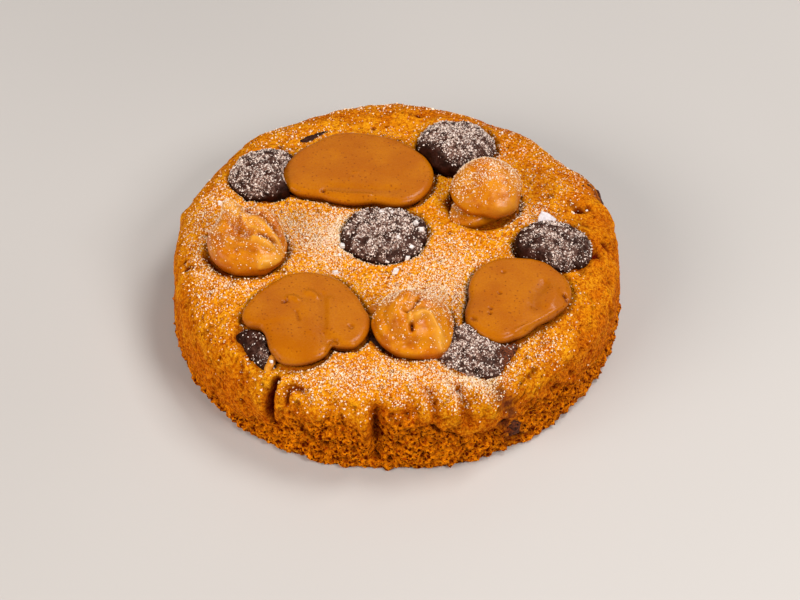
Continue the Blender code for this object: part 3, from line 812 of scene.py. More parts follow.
def dough_material():
    recipe = Recipe("Baked dough", 0.75, 0.02)
    clouds = recipe.stepped(recipe.noise(5, 4), 0.35, 0.65)
    # One speckle both bumps the dough and colours it, darker in its hollows and lighter on its tops:
    # painted shade and light on the fine relief, over the grain's own colour
    speckle = recipe.noise(0.8, 4, 0.7)
    grain = recipe.stepped(speckle, 0.36, 0.6)
    pale = recipe.mixed(clouds, (222, 136, 6), (242, 166, 22))
    skin = recipe.mixed(grain, (188, 90, 1), pale)
    tan = recipe.mixed(grain, (144, 50, 1), (212, 112, 5))
    # Browner skin where it is tanned, with painted light and shade from its folds and lumps
    skin = recipe.tinted(skin, "tan_and_painted_shade", tan)
    crumb = recipe.mixed(grain, (148, 50, 1), (244, 138, 4))
    browned = recipe.attribute("browned")
    colour = recipe.mixed(browned, skin, crumb)
    flecks = recipe.stepped(recipe.noise(0.55, 2, 0.6), 0.56, 0.68, 0, 0.4)
    colour = recipe.mixed(flecks, colour, (248, 180, 44))
    pepper = recipe.stepped(recipe.noise(0.48, 2, 0.7), 0.46, 0.36, 0, 0.45)
    colour = recipe.mixed(pepper, colour, (160, 66, 2))
    often = recipe.greater(browned, recipe.stepped(recipe.noise(2.6, 2), 0.52, 0.64, 0, 0.5))
    wide = recipe.stepped(recipe.cells(1.9), 0.3, 0.17)
    small = recipe.stepped(recipe.cells(0.9), 0.3, 0.17)
    # Small holes are bumped in and painted dark: painted shade in them
    shaded_holes = recipe.times(recipe.greater(wide, small), often)
    colour = recipe.mixed(shaded_holes, colour, (86, 20, 1))
    colour = recipe.tinted(colour, "smear", (104, 50, 28))
    # Painted shade in pits, pores, narrow folds and creases, and the painted shadow round the drops
    colour = recipe.tinted(colour, "pits", (92, 14, 1))
    dust = recipe.stepped(recipe.noise(0.4, 2, 0.7), 0.52, 0.62)
    colour = recipe.sugared(colour, dust, 0.45, (252, 204, 80))
    normal = recipe.bumped(speckle, 0.28)
    normal = recipe.bumped(recipe.times(shaded_holes, -1.0), 0.35, normal)
    normal = recipe.bumped(recipe.noise(0.4, 2, 0.6), 0.08, normal)
    return recipe.finish(colour, recipe.stepped(speckle, 0.3, 0.7, 0.85, 0.6), normal)


def chocolate_material():
    recipe = Recipe("Dark chocolate", 0.5, 0.09)
    clouds = recipe.stepped(recipe.noise(2.4, 4), 0.35, 0.7)
    colour = recipe.mixed(clouds, (26, 7, 1), (50, 19, 9))
    dust = recipe.stepped(recipe.noise(0.6, 3, 0.8), 0.34, 0.64)
    colour = recipe.sugared(colour, dust, 0.9, (142, 106, 92))
    fine = recipe.noise(0.5, 3)
    crumbs = recipe.times(recipe.attribute("crumbs"), recipe.stepped(fine, 0.4, 0.55))
    colour = recipe.mixed(crumbs, colour, (126, 62, 30))
    return recipe.finish_uneven(colour, (2.0, 3, 0.3), fine, 0.1, 0.42, 0.68)


def slab_material():
    recipe = Recipe("Caramel slab", 0.3, 0.16)
    clouds = recipe.stepped(recipe.noise(9, 3), 0.35, 0.65)
    colour = recipe.mixed(clouds, (171, 92, 3), (184, 106, 5))
    grain = recipe.stepped(recipe.noise(0.5, 3, 0.7), 0.36, 0.64)
    colour = recipe.mixed(recipe.times(grain, 0.4), colour, (166, 82, 2))
    specks = recipe.stepped(recipe.cells(1.0), 0.28, 0.14, 0, 0.8)
    gate = recipe.stepped(recipe.noise(2.3, 1), 0.42, 0.54)
    colour = recipe.mixed(recipe.times(specks, gate), colour, (128, 56, 1))
    # Painted shade on the lower flanks and in the grooves
    colour = recipe.tinted(colour, "pits", (112, 44, 2))
    return recipe.finish_uneven(colour, (3.0, 2, 0.08), recipe.noise(0.6, 3), 0.03, 0.22, 0.32)


def drop_material():
    recipe = Recipe("Caramel drop", 0.3, 0.28)
    clouds = recipe.stepped(recipe.noise(4, 4), 0.35, 0.65)
    colour = recipe.mixed(clouds, (180, 92, 1), (207, 125, 3))
    # Painted shade in slits and on the lower flanks; the bead takes it as an even darker tone of its
    # own
    colour = recipe.tinted(colour, "pits", (146, 58, 1))
    # Painted highlight on the ridges; the tongue takes it as an even paler tone of its own
    colour = recipe.tinted(colour, "ridges", (244, 180, 62))
    dust = recipe.stepped(recipe.noise(0.45, 2, 0.7), 0.48, 0.62)
    colour = recipe.sugared(colour, dust, 0.55, (246, 178, 62))
    return recipe.finish_uneven(colour, (2.6, 3, 0.12), recipe.noise(0.8, 3), 0.04, 0.24, 0.36)


def crystal_material(name, dark, light, roughness):
    recipe = Recipe(name, roughness, 0.4)
    colour = recipe.mixed(recipe.stepped(recipe.noise(0.7, 2), 0.35, 0.65), dark, light)
    return recipe.finish(colour)


# The dough


def top_grid(rings):
    """A square grid bent into a disc: angles in degrees, shares of the radius and faces."""
    steps = np.linspace(-1, 1, 2 * rings + 1)
    a, b = (grid.ravel() for grid in np.meshgrid(steps, steps, indexing="ij"))
    share = np.maximum(np.abs(a), np.abs(b))
    safe_a = np.where(np.abs(a) < 1e-9, 1, a)
    safe_b = np.where(np.abs(b) < 1e-9, 1, b)
    sideways = np.where(a > 0, 0, 180) + 45 * b / safe_a
    upright = np.where(b > 0, 90, 270) - 45 * a / safe_b
    angles = np.where(np.abs(a) >= np.abs(b), sideways, upright)
    angles = np.where(share < 1e-9, 0, angles) % 360
    width = 2 * rings + 1
    corner = (np.arange(width - 1)[:, None] * width + np.arange(width - 1)).ravel()
    faces = np.column_stack([corner, corner + width, corner + width + 1, corner + 1])
    return angles, share, faces


def dough_base(angles, travel):
    """Points of the plain dough at angles in degrees and distances travelled from the top's middle."""
    radii = np.interp(travel, TRAVELLED, PROFILE_R)
    heights = np.interp(travel, TRAVELLED, PROFILE_Z)
    side = between_0_and_1((radii / BODY_RADIUS - 0.75) / 0.2)
    dish = TOP_DISH * np.maximum(0, 1 - (radii / FLAT_RADIUS) ** 2)
    radii = radii * body_radius(angles) / BODY_RADIUS
    radii = radii + side * skin_swell(angles, heights) * (heights > 0)
    return polar(radii, np.radians(angles), heights - dish)


class Relief:
    """How far each point of the dough moves outwards, and how much painted shade it gets in pits,
    pores, folds and creases.
    """

    def __init__(self, points):
        self.points = points
        self.shaken = warped(points, 2.4, 0.5, 15)
        self.out, self.folds, self.pits = np.zeros((3, len(points)))

    # Painted shade: each mark keeps the darkest that it asks for
    def darken(self, amount):
        self.pits = np.maximum(self.pits, amount)

    def crease(self, outside, on_top):
        """Dips under the toppings and creases round them, with painted shade in and round the creases.
        """
        self.out -= on_top * 1.6 * eased(-outside, 0.4, 1.6)
        self.out += on_top * 0.6 * hump(outside, 1.6, 1.2)
        self.out -= on_top * 1.1 * hump(outside, 0.1, 0.6)
        # Painted shade right at the toppings, and in an uneven ring a little further out
        self.darken(0.75 * on_top * hump(np.maximum(outside, 0), 0, 0.5))
        ring = on_top * hump(outside, 0.5, 0.8)
        self.darken(0.5 * ring * eased(lumps(self.points, 3, 19), -0.4, 0.4))
        # Painted shadow round the drops, strongest at their front left
        self.darken(0.9 * drop_shadow_ring(*self.points[:, :2].T))

    def fold(self, line, width, height):
        """A ridge or groove of the side. Ridges fade out towards their lower end."""
        push = FOLD_STRENGTH * stroke(self.shaken, side_points(line), width, height)
        if height > 0:
            lowest = min(level for _, level in line)
            push *= eased(self.points[:, 2], lowest - 1, lowest + 5)
        self.out += push
        self.folds += push
        # Narrow grooves get painted shade
        if width < 1:
            self.darken(-push / FOLD_DARKEST)

    def dig(self, spot, radius, depth, darkest):
        """A round pit, with full painted shade where it is as deep as darkest says."""
        push = depth * hump(distances(self.shaken, spot), 0, radius)
        self.out -= push
        self.darken(push / darkest)

    def strew_pores(self, often):
        """Random pores of each kind, one at most in each cell of two interlaced grids."""
        for spacing, chance, seed in RANDOM_PORES:
            for shift in (0.0, 0.5):
                cells = np.floor(self.points / spacing + shift)
                jitter = [scattered(cells, seed + axis) for axis in (1, 2, 3)]
                middle = (cells - shift + 0.25 + 0.5 * np.stack(jitter, axis=1)) * spacing
                size = spacing * (0.26 + 0.2 * scattered(cells, seed + 4))
                keep = scattered(cells, seed + 5) < often(chance)
                push = keep * hump(distances(self.points, middle), 0, size)
                self.out -= PORE_DEPTH * spacing * push
                # Painted shade in the pores
                self.darken(PORE_DARKNESS * push)


def smeared(points, shaken):
    """Where melted chocolate has browned the side, from 0 to 1."""
    smear = np.zeros(len(points))
    for angle, height, radius, strength in SMEARS:
        away = distances(shaken, side_points([(angle, height)])[0]) / radius
        smear = np.maximum(smear, strength * np.exp(-(away**4)))
    return smear * eased(lumps(points, 1.4, 17), -0.7, 0.1)


def tan_and_painted_shade(points, angles, side, below_edge, folds, swells):
    """How brown the skin is, mostly from 0 to 1: more on the side; less on folds and lumps that stand
    proud and more in grooves, which is painted light and shade.
    """
    x, y, z = points.T
    left = eased(np.abs(degrees_between(angles, 178)), 62, 30)
    # Folds that stand proud are less brown and grooves browner: painted light and shade
    amount = side * (0.3 + 0.35 * eased(21 - z, 0, 13) + 0.2 * left) - 0.45 * folds
    amount += 0.12 * eased(x, 46, 56) + 0.5 * side * eased(below_edge + 6, 0, 6)
    # Lumps that stand proud are less brown: painted light
    amount += 0.32 * eased(x + 0.6 * y, 32, 50) - 0.6 * swells
    amount += 0.3 * eased(np.hypot(x, y), 34, 52) * (1 - side)
    for centre, half_width, top, strength in TANNED_SIDES:
        amount += strength * round_hump(angles, centre, half_width) * side * eased(top - z, 0, 8)
    return amount + 0.3 * lumps(points, 6, 18) * (0.3 + side) + 0.25 * eased(y, 36, 50)


def dough_relief(points, angles, travel):
    """How far each point of the dough moves outwards, its looks and what the sugar follows."""
    x, y, z = points.T
    side = eased(travel, FLAT_RADIUS, SHOULDER_END)
    edge_angles, edge_heights = np.array(SKIN_EDGE, float).T
    edge = np.interp(degrees_between(angles, 0), edge_angles, edge_heights, period=360)
    below_edge = edge + layered(points, EDGE_LUMPS) - z
    crumb = eased(below_edge, -2.2, 2.2)

    relief = Relief(points)
    swells = lumps(points, 5, 2)
    relief.out += 0.3 * lumps(points, 11, 1) + 0.35 * swells
    relief.out += (0.1 + 0.12 * side) * (1 - crumb) * rough(points, 2.0, 2, 3)
    relief.out -= 0.35 * crumb
    relief.out += crumb * (0.55 * rough(points, 2.8, 3, 8) + 0.2 * lumps(points, 1.2, 9))
    outside = outside_toppings(x, y) + layered(points, CREASE_LUMPS)
    relief.crease(outside, 1 - side)
    for line, width, height in SIDE_STROKES:
        relief.fold(line, width, height)
    for angle, height in SIDE_PITS:
        relief.dig(side_points([(angle, height)])[0], *SIDE_PIT)
    for pore_x, pore_y, radius, depth in TOP_PORES:
        # Small pores get deep painted shade, wide hollows stay paler
        darkest = HOLLOW_DARKEST
        if radius < HOLLOW_RADIUS:
            darkest = min(darkest, 0.6 * depth)
        relief.dig(np.array([pore_x, pore_y, dough_level(pore_x, pore_y)]), radius, depth, darkest)
    # Many pores in the crumb, few in the skin
    relief.strew_pores(lambda chance: chance * crumb + 0.05 * side + 0.015)
    # The foot is craggy
    low = eased(3.2 - z, 0, 2.8)
    relief.out += low * (0.95 * rough(points, 2.2, 3, 14) + 0.1)

    looks = {
        "browned": crumb + 0.25 * low,
        "tan_and_painted_shade": tan_and_painted_shade(points, angles, side, below_edge, relief.folds, swells),
        # Painted shade of the pits, pores, folds and creases and round the drops
        "pits": relief.pits,
        "smear": smeared(points, relief.shaken),
    }
    return relief.out, looks, side, crumb, outside


def sugar_on_dough(x, y, z, side, crumb, outside):
    """How much sugar lies on the dough, from 0 to 1 and over."""
    sugar = 0.14 * np.ones(len(x))
    for centre_x, centre_y, spread_x, spread_y, amount in SUGAR_SPOTS:
        away = ((x - centre_x) / spread_x) ** 2 + ((y - centre_y) / spread_y) ** 2
        sugar += amount * np.exp(-away)
    sugar *= 1 - 0.93 * eased(side, 0.3, 1.0)
    sugar *= 1 - crumb
    front = eased(-y, 30, 50) * eased(40 - np.abs(x), 0, 20)
    sugar += front * eased(z, 15, 22) * (0.2 + 0.2 * hump(x, 20, 8))
    # Less sugar where the painted shadow round the drops lies
    return np.clip(sugar, 0, 1.3) * eased(outside, -0.3, 0.4) * (1 - 0.8 * drop_shadow_ring(x, y))


def make_dough(material):
    angles, share, top = top_grid(TOP_RINGS)
    rim = np.flatnonzero(share > 1 - 1e-9)
    rim = rim[np.argsort(angles[rim])]
    columns = len(rim)
    rows = SHOULDER_END + (TRAVELLED[-1] - SHOULDER_END) * np.arange(1, WALL_ROWS + 1) / WALL_ROWS
    all_angles = np.concatenate([angles, np.tile(angles[rim], WALL_ROWS)])
    all_travel = np.concatenate([share * SHOULDER_END, np.repeat(rows, columns)])
    points = dough_base(all_angles, all_travel)
    rings = [rim] + [len(angles) + row * columns + np.arange(columns) for row in range(WALL_ROWS)]
    wall = [
        np.column_stack([upper, lower, np.roll(lower, -1), np.roll(upper, -1)])
        for upper, lower in zip(rings[:-1], rings[1:])
    ]
    shell = np.concatenate([top, *wall])
    normals = point_normals(points, shell)
    out, looks, side, crumb, outside = dough_relief(points, all_angles, all_travel)
    # Near the ground the dough moves sideways only
    normals[:, 2] *= eased(points[:, 2], 0.0, 1.2)
    points = points + normals * out[:, None]
    points[:, 2] = np.maximum(points[:, 2], 0)
    points[-columns:, 2] = 0
    upright = point_normals(points, shell)[:, 2]
    sugar = sugar_on_dough(*points.T, side, crumb, outside) * eased(upright, -0.1, 0.6)
    faces = shell.tolist() + [rings[-1][::-1].tolist()]
    piece = make_object("dough", points, faces, material, "dough", sugar=sugar, **looks)
    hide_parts("cookie_body")
    return points, shell, sugar


# The toppings


def uneven_disc(points, number, amount):
    """The same lumps as on the solid."""
    shift = 1.7 * number
    result = points.copy()
    for i, (x, y, z) in enumerate(points):
        spot = Vector((x / LUMP_LENGTH, y / LUMP_LENGTH, 0))
        share = 1 + amount * blender_noise.noise(spot + Vector((shift, 0, 0)))
        lift = 1 + amount * blender_noise.noise(spot + Vector((0, shift, 0)))
        result[i] = x * share, y * share, z * lift
    return result


def button_mesh(width, depth, dome, sunk, number, amount, rings, sides):
    shares = np.sin(np.linspace(0, math.pi / 2, rings))
    profile = [(width / 2 * s, dome * (1 - s**2.3) ** (1 / 2.3)) for s in shares]
    profile += [(width / 2 * 0.985, -0.3 * sunk), (width / 2 * 0.96, -0.6 * sunk)]
    profile += [(width / 2 * 0.85, -sunk), (0, -sunk)]
    points, faces = spun(profile, sides)
    points = uneven_disc(points, number, amount)
    points[:, 1] *= depth / width
    return points, faces


def roughened(points, faces, layers):
    """The points, moved along their normals by layers of lumps."""
    return points + point_normals(points, faces) * layered(points, layers)[:, None]


def tucked_under_slabs(points):
    """Lowers what lies under a slab, so that the slab shows over it."""
    outside = np.minimum.reduce([outside_slab(i, *points[:, :2].T) for i in range(3)])
    lowered = points.copy()
    lowered[:, 2] -= TUCK_DEPTH * eased(-outside, -0.5, 0.8)
    return lowered


def sugar_on_button(number, points, width, depth):
    """Sugar on a whole button before it is placed: less at its bare side and its edge."""
    x, y, z = points.T
    direction, start, strength = BARE_SIDES[number - 1]
    turn = math.radians(direction)
    towards = (x * math.cos(turn) + y * math.sin(turn)) / (width / 2)
    sugar = BUTTON_DUST[number - 1] * (1 - strength * eased(towards, start, start + 0.45))
    sugar *= eased(z, 0.0, 1.2)
    return sugar * (1 - 0.5 * eased(np.hypot(x / (width / 2), y / (depth / 2)), 0.68, 0.98))


def make_buttons(material):
    dusted = []
    for number, place in enumerate(BUTTON_PLACES, 1):
        x, y, lift, width, depth, dome, tilt_x, tilt_y = place
        name = f"chocolate_button_{number}"
        points, faces = button_mesh(width, depth, dome, BUTTON_SUNK, number, *BUTTON_MESH)
        sugar = sugar_on_button(number, points, width, depth)
        points = placed(points, (x, y, float(dough_level(x, y)) + lift), tilt_x, tilt_y, 0)
        points = roughened(points, faces, BUTTON_LUMPS)
        points = tucked_under_slabs(points)
        beyond = beyond_covers(number, *points[:, :2].T)
        points[:, 2] -= TUCK_DEPTH * eased(beyond, -1.6, 1.0)
        sugar *= eased(-beyond, 0.0, 1.0)
        sugar *= 0.2 + 1.6 * eased(lumps(points, 2.6, 43) + 0.6 * lumps(points, 1.1, 47), -0.45, 0.6)
        sugar = np.clip(sugar, 0, 1.3)
        reddish = 0.7 * eased(points[:, 0] - x, 4.5, 8.0) * (number == REDDISH_BUTTON)
        piece = make_object(
            "looks_" + name, points, faces, material, "chocolate", sugar=sugar, crumbs=reddish
        )
        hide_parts(name)
        dusted.append((points, face_array(faces), sugar))
    return dusted


def make_peeping_buttons(material):
    """The chocolate that shows only in part. Dough covers the edges of what is in the side."""
    for number, place in enumerate(PEEPING_PLACES, len(BUTTON_PLACES) + 1):
        x, y, z, width, depth, dome, *angles = place
        name = f"chocolate_button_{number}"
        points, faces = button_mesh(width, depth, dome, PEEPING_SUNK, number, *PEEPING_MESH)
        points = placed(points, (x, y, z), *angles)
        shift = PEEPING_SHIFTS[number - len(BUTTON_PLACES) - 1]
        points -= shift * np.array(turns(*angles))[:3, 2]
        in_side = number in BUTTONS_IN_SIDE
        points = roughened(points, faces, SIDE_BUTTON_LUMPS if in_side else PEEPING_LUMPS)
        crumbs = 0.7 * in_side * eased(lumps(points, 1.6, 46), -0.35, 0.1)
        if not in_side:
            points = tucked_under_slabs(points)
        piece = make_object(
            "looks_" + name, points, faces, material, "chocolate", sugar=0.1, crumbs=crumbs
        )
        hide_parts(name)


# Grooves, ridges and pits of each slab, in plan: points, width and height
SLAB_STROKES = (
    (
        (((-18.7, 13.2), (-18.6, 13.4)), 0.45, -0.7),
        (((-17.2, 12.9), (-13.7, 12.2), (-10.3, 11.9), (-6.4, 11.7)), 0.55, 0.16),
        (((-17.5, 14.4), (-12.0, 13.8), (-6.0, 13.4), (0.0, 13.2)), 1.4, -0.22),
        (((-10.9, 19.9), (-9.6, 20.2)), 0.35, 0.12),
        (((-11.8, 17.8), (-11.3, 18.3)), 0.3, 0.1),
    ),
    (
        (((-27.0, -28.3), (-26.6, -28.0)), 0.5, -0.55),
        (((-26.0, -26.9), (-24.8, -26.7), (-23.9, -27.6)), 0.7, 0.4),
        (((-21.3, -25.0), (-20.2, -25.2), (-19.0, -26.4)), 0.8, 0.35),
        (((-17.8, -26.0), (-17.4, -30.0), (-17.0, -36.0), (-16.4, -41.5)), 1.2, -0.28),
        (((-15.9, -27.5), (-15.6, -33.0), (-16.0, -38.0)), 1.0, 0.22),
        (((-23.9, -31.8), (-23.2, -34.6)), 0.4, -0.22),
        (((-22.0, -29.0), (-20.6, -33.0), (-20.4, -38.0)), 1.3, 0.2),
        (((-10.9, -36.2), (-10.2, -36.0), (-9.9, -36.8), (-10.6, -37.2), (-11.0, -36.6)), 0.3, -0.3),
        (((-14.8, -43.6), (-14.4, -41.2)), 0.8, -0.9),
    ),
    (
        (((27.0, -17.7), (27.3, -17.6)), 0.45, -0.3),
        (((23.4, -30.4), (23.6, -30.6)), 0.35, -0.5),
        (((23.2, -32.0), (23.4, -32.2)), 0.35, -0.5),
        (((19.0, -33.6), (19.6, -34.0)), 0.5, -0.4),
        (((25.8, -25.3), (26.0, -25.5)), 0.35, -0.35),
        (((37.5, -22.0), (35.0, -25.4), (34.6, -29.6)), 1.6, -0.45),
        (((38.8, -21.4), (39.8, -25.4), (38.4, -29.0)), 1.3, 0.25),
        (((41.9, -25.6), (42.2, -26.0)), 0.45, -0.8),
        (((42.5, -27.0), (42.7, -26.6)), 0.35, -0.5),
        (((42.8, -27.6), (38.5, -31.2), (33.0, -35.4), (29.0, -38.0)), 0.5, 0.3),
    ),
)


def slab_edge():
    """Pairs of inset and height down the rolled edge of a slab."""
    turn = np.linspace(0, math.pi / 2, SLAB_EDGE_RINGS)
    inset = SLAB_EDGE * (1 - np.sin(turn))
    height = SLAB_BELLY + (SLAB_PROUD - SLAB_BELLY) * np.cos(turn) ** 0.8
    edge = list(zip(inset[1:], height[1:]))
    return edge + [(0.12, 0.75), (0.45, 0.4), (0.85, 0.1), (1.0, -0.4), (1.3, -SLAB_SUNK)]


def slab_shape(number):
    """A slab that partly follows the dough: crowned inside, rolled over at its edge."""
    middle, edge = SLAB_MIDDLES[number], slab_edge()
    plain = [(0, 0)] + [(1 + i, 0) for i in range(SLAB_RINGS + len(edge))] + [(0, 0)]
    points, faces = spun(plain, SLAB_SIDES)
    angles = np.linspace(0, 2 * math.pi, SLAB_SIDES, endpoint=False)
    reach = slab_reach(number, np.degrees(angles))
    middle_level = float(dough_level(*middle))
    shares = [(i + 1) / SLAB_RINGS for i in range(SLAB_RINGS)]
    rings = [((reach - SLAB_EDGE) * s, SLAB_PROUD + SLAB_CROWN * (1 - s**2)) for s in shares]
    rings += [(reach - inset, height) for inset, height in edge]
    levels = []
    for radius, height in rings:
        ring = polar(radius, angles, height) + (*middle, 0)
        fall = SLAB_FOLLOW * (dough_level(*ring[:, :2].T) - middle_level)
        ring[:, 2] += middle_level + fall
        levels.append(ring)
    points[1:-1] = np.concatenate(levels)
    points[0] = *middle, middle_level + SLAB_PROUD + SLAB_CROWN
    points[-1] = *middle, middle_level - SLAB_SUNK
    return points, faces


def make_slabs(material):
    for number, strokes in enumerate(SLAB_STROKES):
        name = f"caramel_slab_{number + 1}"
        points, faces = slab_shape(number)
        normals = point_normals(points, faces)
        out = layered(points, ((8, 0.16, 50 + number), (3, 0.05, 60 + number)))
        # Painted shade on the lower flanks
        pits = 0.7 * eased(0.45 - normals[:, 2], 0, 0.5)
        upper = eased(normals[:, 2], 0.1, 0.5)
        for line, width, height in strokes:
            push = SLAB_STROKE_STRENGTH * stroke(points[:, :2], line, width, height)
            out += upper * push
            # Painted shade in narrow grooves, fainter in wide ones
            pits = np.maximum(pits, between_0_and_1(-push / 0.7) * (1 if width < 0.7 else 0.3))
        points = points + normals * out[:, None]
        piece = make_object("looks_" + name, points, faces, material, "caramel_slab", pits=pits)
        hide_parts(name)


# Ridges, grooves and hollows of each drop, from its middle: points, width and height.
# Two numbers a point follow the top in plan, three also give the height above the dough.
DROP_STROKES = (
    (
        (((-4.4, 5.8), (-3.2, 4.8)), 1.3, 2.4),
        (((-3.9, 3.4), (-2.3, 2.4)), 1.1, -1.0),
        (((-1.8, 6.2), (-0.8, 4.6), (0.8, 2.4), (2.4, 0.8), (3.0, -0.8)), 0.85, 1.5),
        (((1.4, 3.6), (4.0, 2.0), (6.4, -0.6), (7.8, -3.4)), 0.8, 0.9),
        (((-0.6, 5.8), (2.8, 4.4), (5.4, 2.4), (7.2, 0.0)), 0.8, -1.3),
        (((0.4, 7.4), (4.2, 6.2), (7.2, 3.4), (8.4, 0.0)), 0.9, 0.7),
        (((2.0, -4.0), (4.0, -4.3), (6.0, -4.6)), 1.1, 1.5),
        (((3.0, -1.3), (4.2, -1.9), (5.4, -2.7), (6.3, -3.3)), 0.42, -2.4),
        (((-2.4, -6.3), (0.2, -6.9), (2.4, -6.8)), 0.7, -0.7),
        (((3.6, -8.2), (6.2, -7.0), (8.2, -5.0)), 1.0, 1.1),
        (((-7.0, 0.6), (-5.2, -3.4), (-1.4, -5.6), (2.4, -6.4)), 0.9, 0.5),
        (((-8.0, -1.4), (-6.2, -5.0), (-2.0, -7.2), (2.6, -7.8)), 0.8, -0.5),
    ),
    (
        (((-6.5, 3.0), (-3.0, 4.6), (1.0, 4.6)), 1.3, 0.35),
        (((-4.6, -0.4), (-1.4, 1.4), (2.6, 1.4)), 0.9, -0.35),
        (((2.5, -6.5, 4.4), (5.6, -5.2, 4.6)), 2.6, 1.6),
        (((-0.6, -6.9, 5.6), (-0.2, -7.2, 4.0)), 0.8, -0.7),
    ),
    (
        (((1.9, 2.8), (0.8, 1.3), (-0.4, -0.1), (-1.6, -1.4)), 0.46, -2.5),
        (((-0.9, 3.0), (-2.2, 1.2)), 0.9, 0.8),
        (((-0.9, -2.6), (-0.8, -4.0)), 0.6, 0.9),
        (((-0.6, -5.0), (-0.5, -6.0)), 0.5, -2.0),
        (((0.7, -2.8), (2.0, -2.0), (3.3, -2.0), (4.5, -3.6), (5.6, -5.2), (5.2, -7.0)), 1.0, 1.5),
        (((5.9, -6.6), (3.6, -7.9), (1.3, -8.4), (-1.8, -8.2), (-4.6, -7.0)), 0.7, -0.9),
        (((-3.8, 1.4), (-4.2, -1.6), (-3.2, -4.6)), 1.3, 0.6),
        (((-7.4, 0.0), (-7.2, -3.0), (-5.4, -6.0)), 0.6, -0.6),
    ),
)


def drop_shape(index):
    """A drop around its own middle, bumpy and leaning like its solid."""
    radius = DROP_PLACES[index][2]
    profile = [(share * radius, height) for share, height in DROP_PROFILES[index]]
    points, faces = spun(smoothed_profile(profile, DROP_RINGS).tolist(), DROP_SIDES)
    lift = np.maximum(points[:, 2], 0) / profile[0][1]
    for bump_x, bump_y, spread, height in DROP_BUMPS[index]:
        across = np.hypot(points[:, 0] - bump_x, points[:, 1] - bump_y)
        points[:, 2] += height * np.minimum(lift, 1) * hump(across, 0, spread)
    for i, point in enumerate(points.tolist()):
        points[i, :2] *= 1 + DROP_LUMPS * blender_noise.noise(Vector(point) / DROP_LUMP_LENGTH)
    points[:, :2] += np.outer(lift, DROP_LEANS[index])
    return points, faces


def make_drops(material):
    dusted = []
    for index, (x, y, _) in enumerate(DROP_PLACES):
        name = f"caramel_drop_{index + 1}"
        local, faces = drop_shape(index)
        points = local + np.array([x, y, float(dough_level(x, y))])
        points += foot_of_drop(local, *DROP_FEET[index])
        normals = point_normals(points, faces)
        out = 0.2 * lumps(points, 4.2, 70 + index) + 0.05 * rough(points, 1.4, 2, 75 + index)
        pits, ridges = np.zeros((2, len(points)))
        upper = eased(normals[:, 2], 0.0, 0.4)
        shaken = warped(local, 2.0, 0.25, 77)
        for line, width, height in DROP_STROKES[index]:
            flat = len(line[0]) == 2
            push = stroke(shaken[:, :2] if flat else shaken, line, width, height)
            push = push * upper if flat else push
            out += push
            # Painted shade in deep slits, painted highlight on tall ridges
            if height < -1:
                pits = np.maximum(pits, -push / 1.7)
            elif height >= 0.9:
                ridges = np.maximum(ridges, 0.45 * push / height)
        # Painted shade on the lower flanks
        pits = np.maximum(pits, 0.65 * eased(0.5 - normals[:, 2], 0, 0.7))
        points = points + normals * out[:, None]
        sugar = sugar_on_drop(index, local, normals)
        # No painted highlight where there is painted shade
        ridges *= 1 - between_0_and_1(pits)
        piece = make_object(
            "looks_" + name, points, faces, material, "caramel_drop",
            pits=pits, ridges=ridges, sugar=sugar,
        )
        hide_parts(name)
        dusted.append((points, face_array(faces), sugar))
    return dusted


def foot_of_drop(local, direction, half_width, reach_out, draw_in, top, fade):
    """How a drop's foot spreads to one side, below a height."""
    x, y, z = local.T
    reach = np.hypot(x, y)
    spread = reach_out * round_hump(bearing(x, y), direction, half_width) - draw_in
    low = eased(top - z, 0, fade) * (reach > DROP_CORE)
    out = local[:, :2] / reach[:, None].clip(1) * (spread * low)[:, None]
    return np.column_stack([out, np.zeros(len(local))])


def sugar_on_drop(index, local, normals):
    up = eased(normals[:, 2], 0.05, 0.7)
    x, y = local[:, 0], local[:, 1]
    patchy = 0.7 + 0.6 * lumps(local, 2.6, 80 + index)
    if index == 0:
        amount = 0.34 + 0.55 * eased(y, -1, 6) - 0.16 * eased(-y, 4, 8)
    elif index == 1:
        amount = 0.95 - 0.8 * eased(-y + 0.15 * x, 2.0, 6.5) + 0.2 * eased(y, 2, 7)
    else:
        amount = 0.14 + 0.75 * eased(y + 0.3 * x, -1.5, 4.0)
    return np.clip(amount * up * patchy, 0, 1.2)


def ball(radius, rings, sides):
    profile = [(radius * math.sin(t), radius * math.cos(t)) for t in np.linspace(0, math.pi, rings)]
    profile[-1] = (0, -radius)
    return spun(profile, sides)


def make_bead(material):
    x, y, radius = BEAD_PLACE
    points, faces = ball(radius, *BEAD_MESH)
    points = points + np.array([x, y, float(dough_level(x, y))]) + BEAD_SHIFT
    points = roughened(points, faces, BEAD_LUMPS)
    # The bead is given an even darker tone of its own through the attribute that carries painted shade
    # on the drops
    piece = make_object(
        "looks_caramel_bead", points, faces, material, "caramel_drop", pits=0.25, sugar=0.1
    )
    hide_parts("caramel_bead")


def broken_corners(radius, sides, seed):
    """Angles and reaches of an uneven outline."""
    generator = np.random.default_rng(seed)
    angles = np.linspace(0, 2 * math.pi, sides, endpoint=False)
    angles = np.sort(angles + generator.uniform(-0.25, 0.25, sides))
    return angles, radius * generator.uniform(0.82, 1.12, sides)


def crystal_block(angles, reaches, thickness):
    """A broken crystal: an uneven prism with bevelled edges."""
    sides = len(angles)
    rings = []
    for share, height in ((0.86, -0.5), (1.0, -0.3), (0.97, 0.28), (0.78, 0.5)):
        tilt = 0.12 * thickness * np.cos(angles + share)
        rings.append(polar(share * reaches, angles, height * thickness + tilt))
    points = np.concatenate(rings)
    faces = [tuple(range(sides))[::-1]]
    neighbours = [(i, (i + 1) % sides) for i in range(sides)]
    for low in range(0, 3 * sides, sides):
        high = low + sides
        faces += [(low + i, low + j, high + j, high + i) for i, j in neighbours]
    return points, faces + [tuple(range(3 * sides, 4 * sides))]


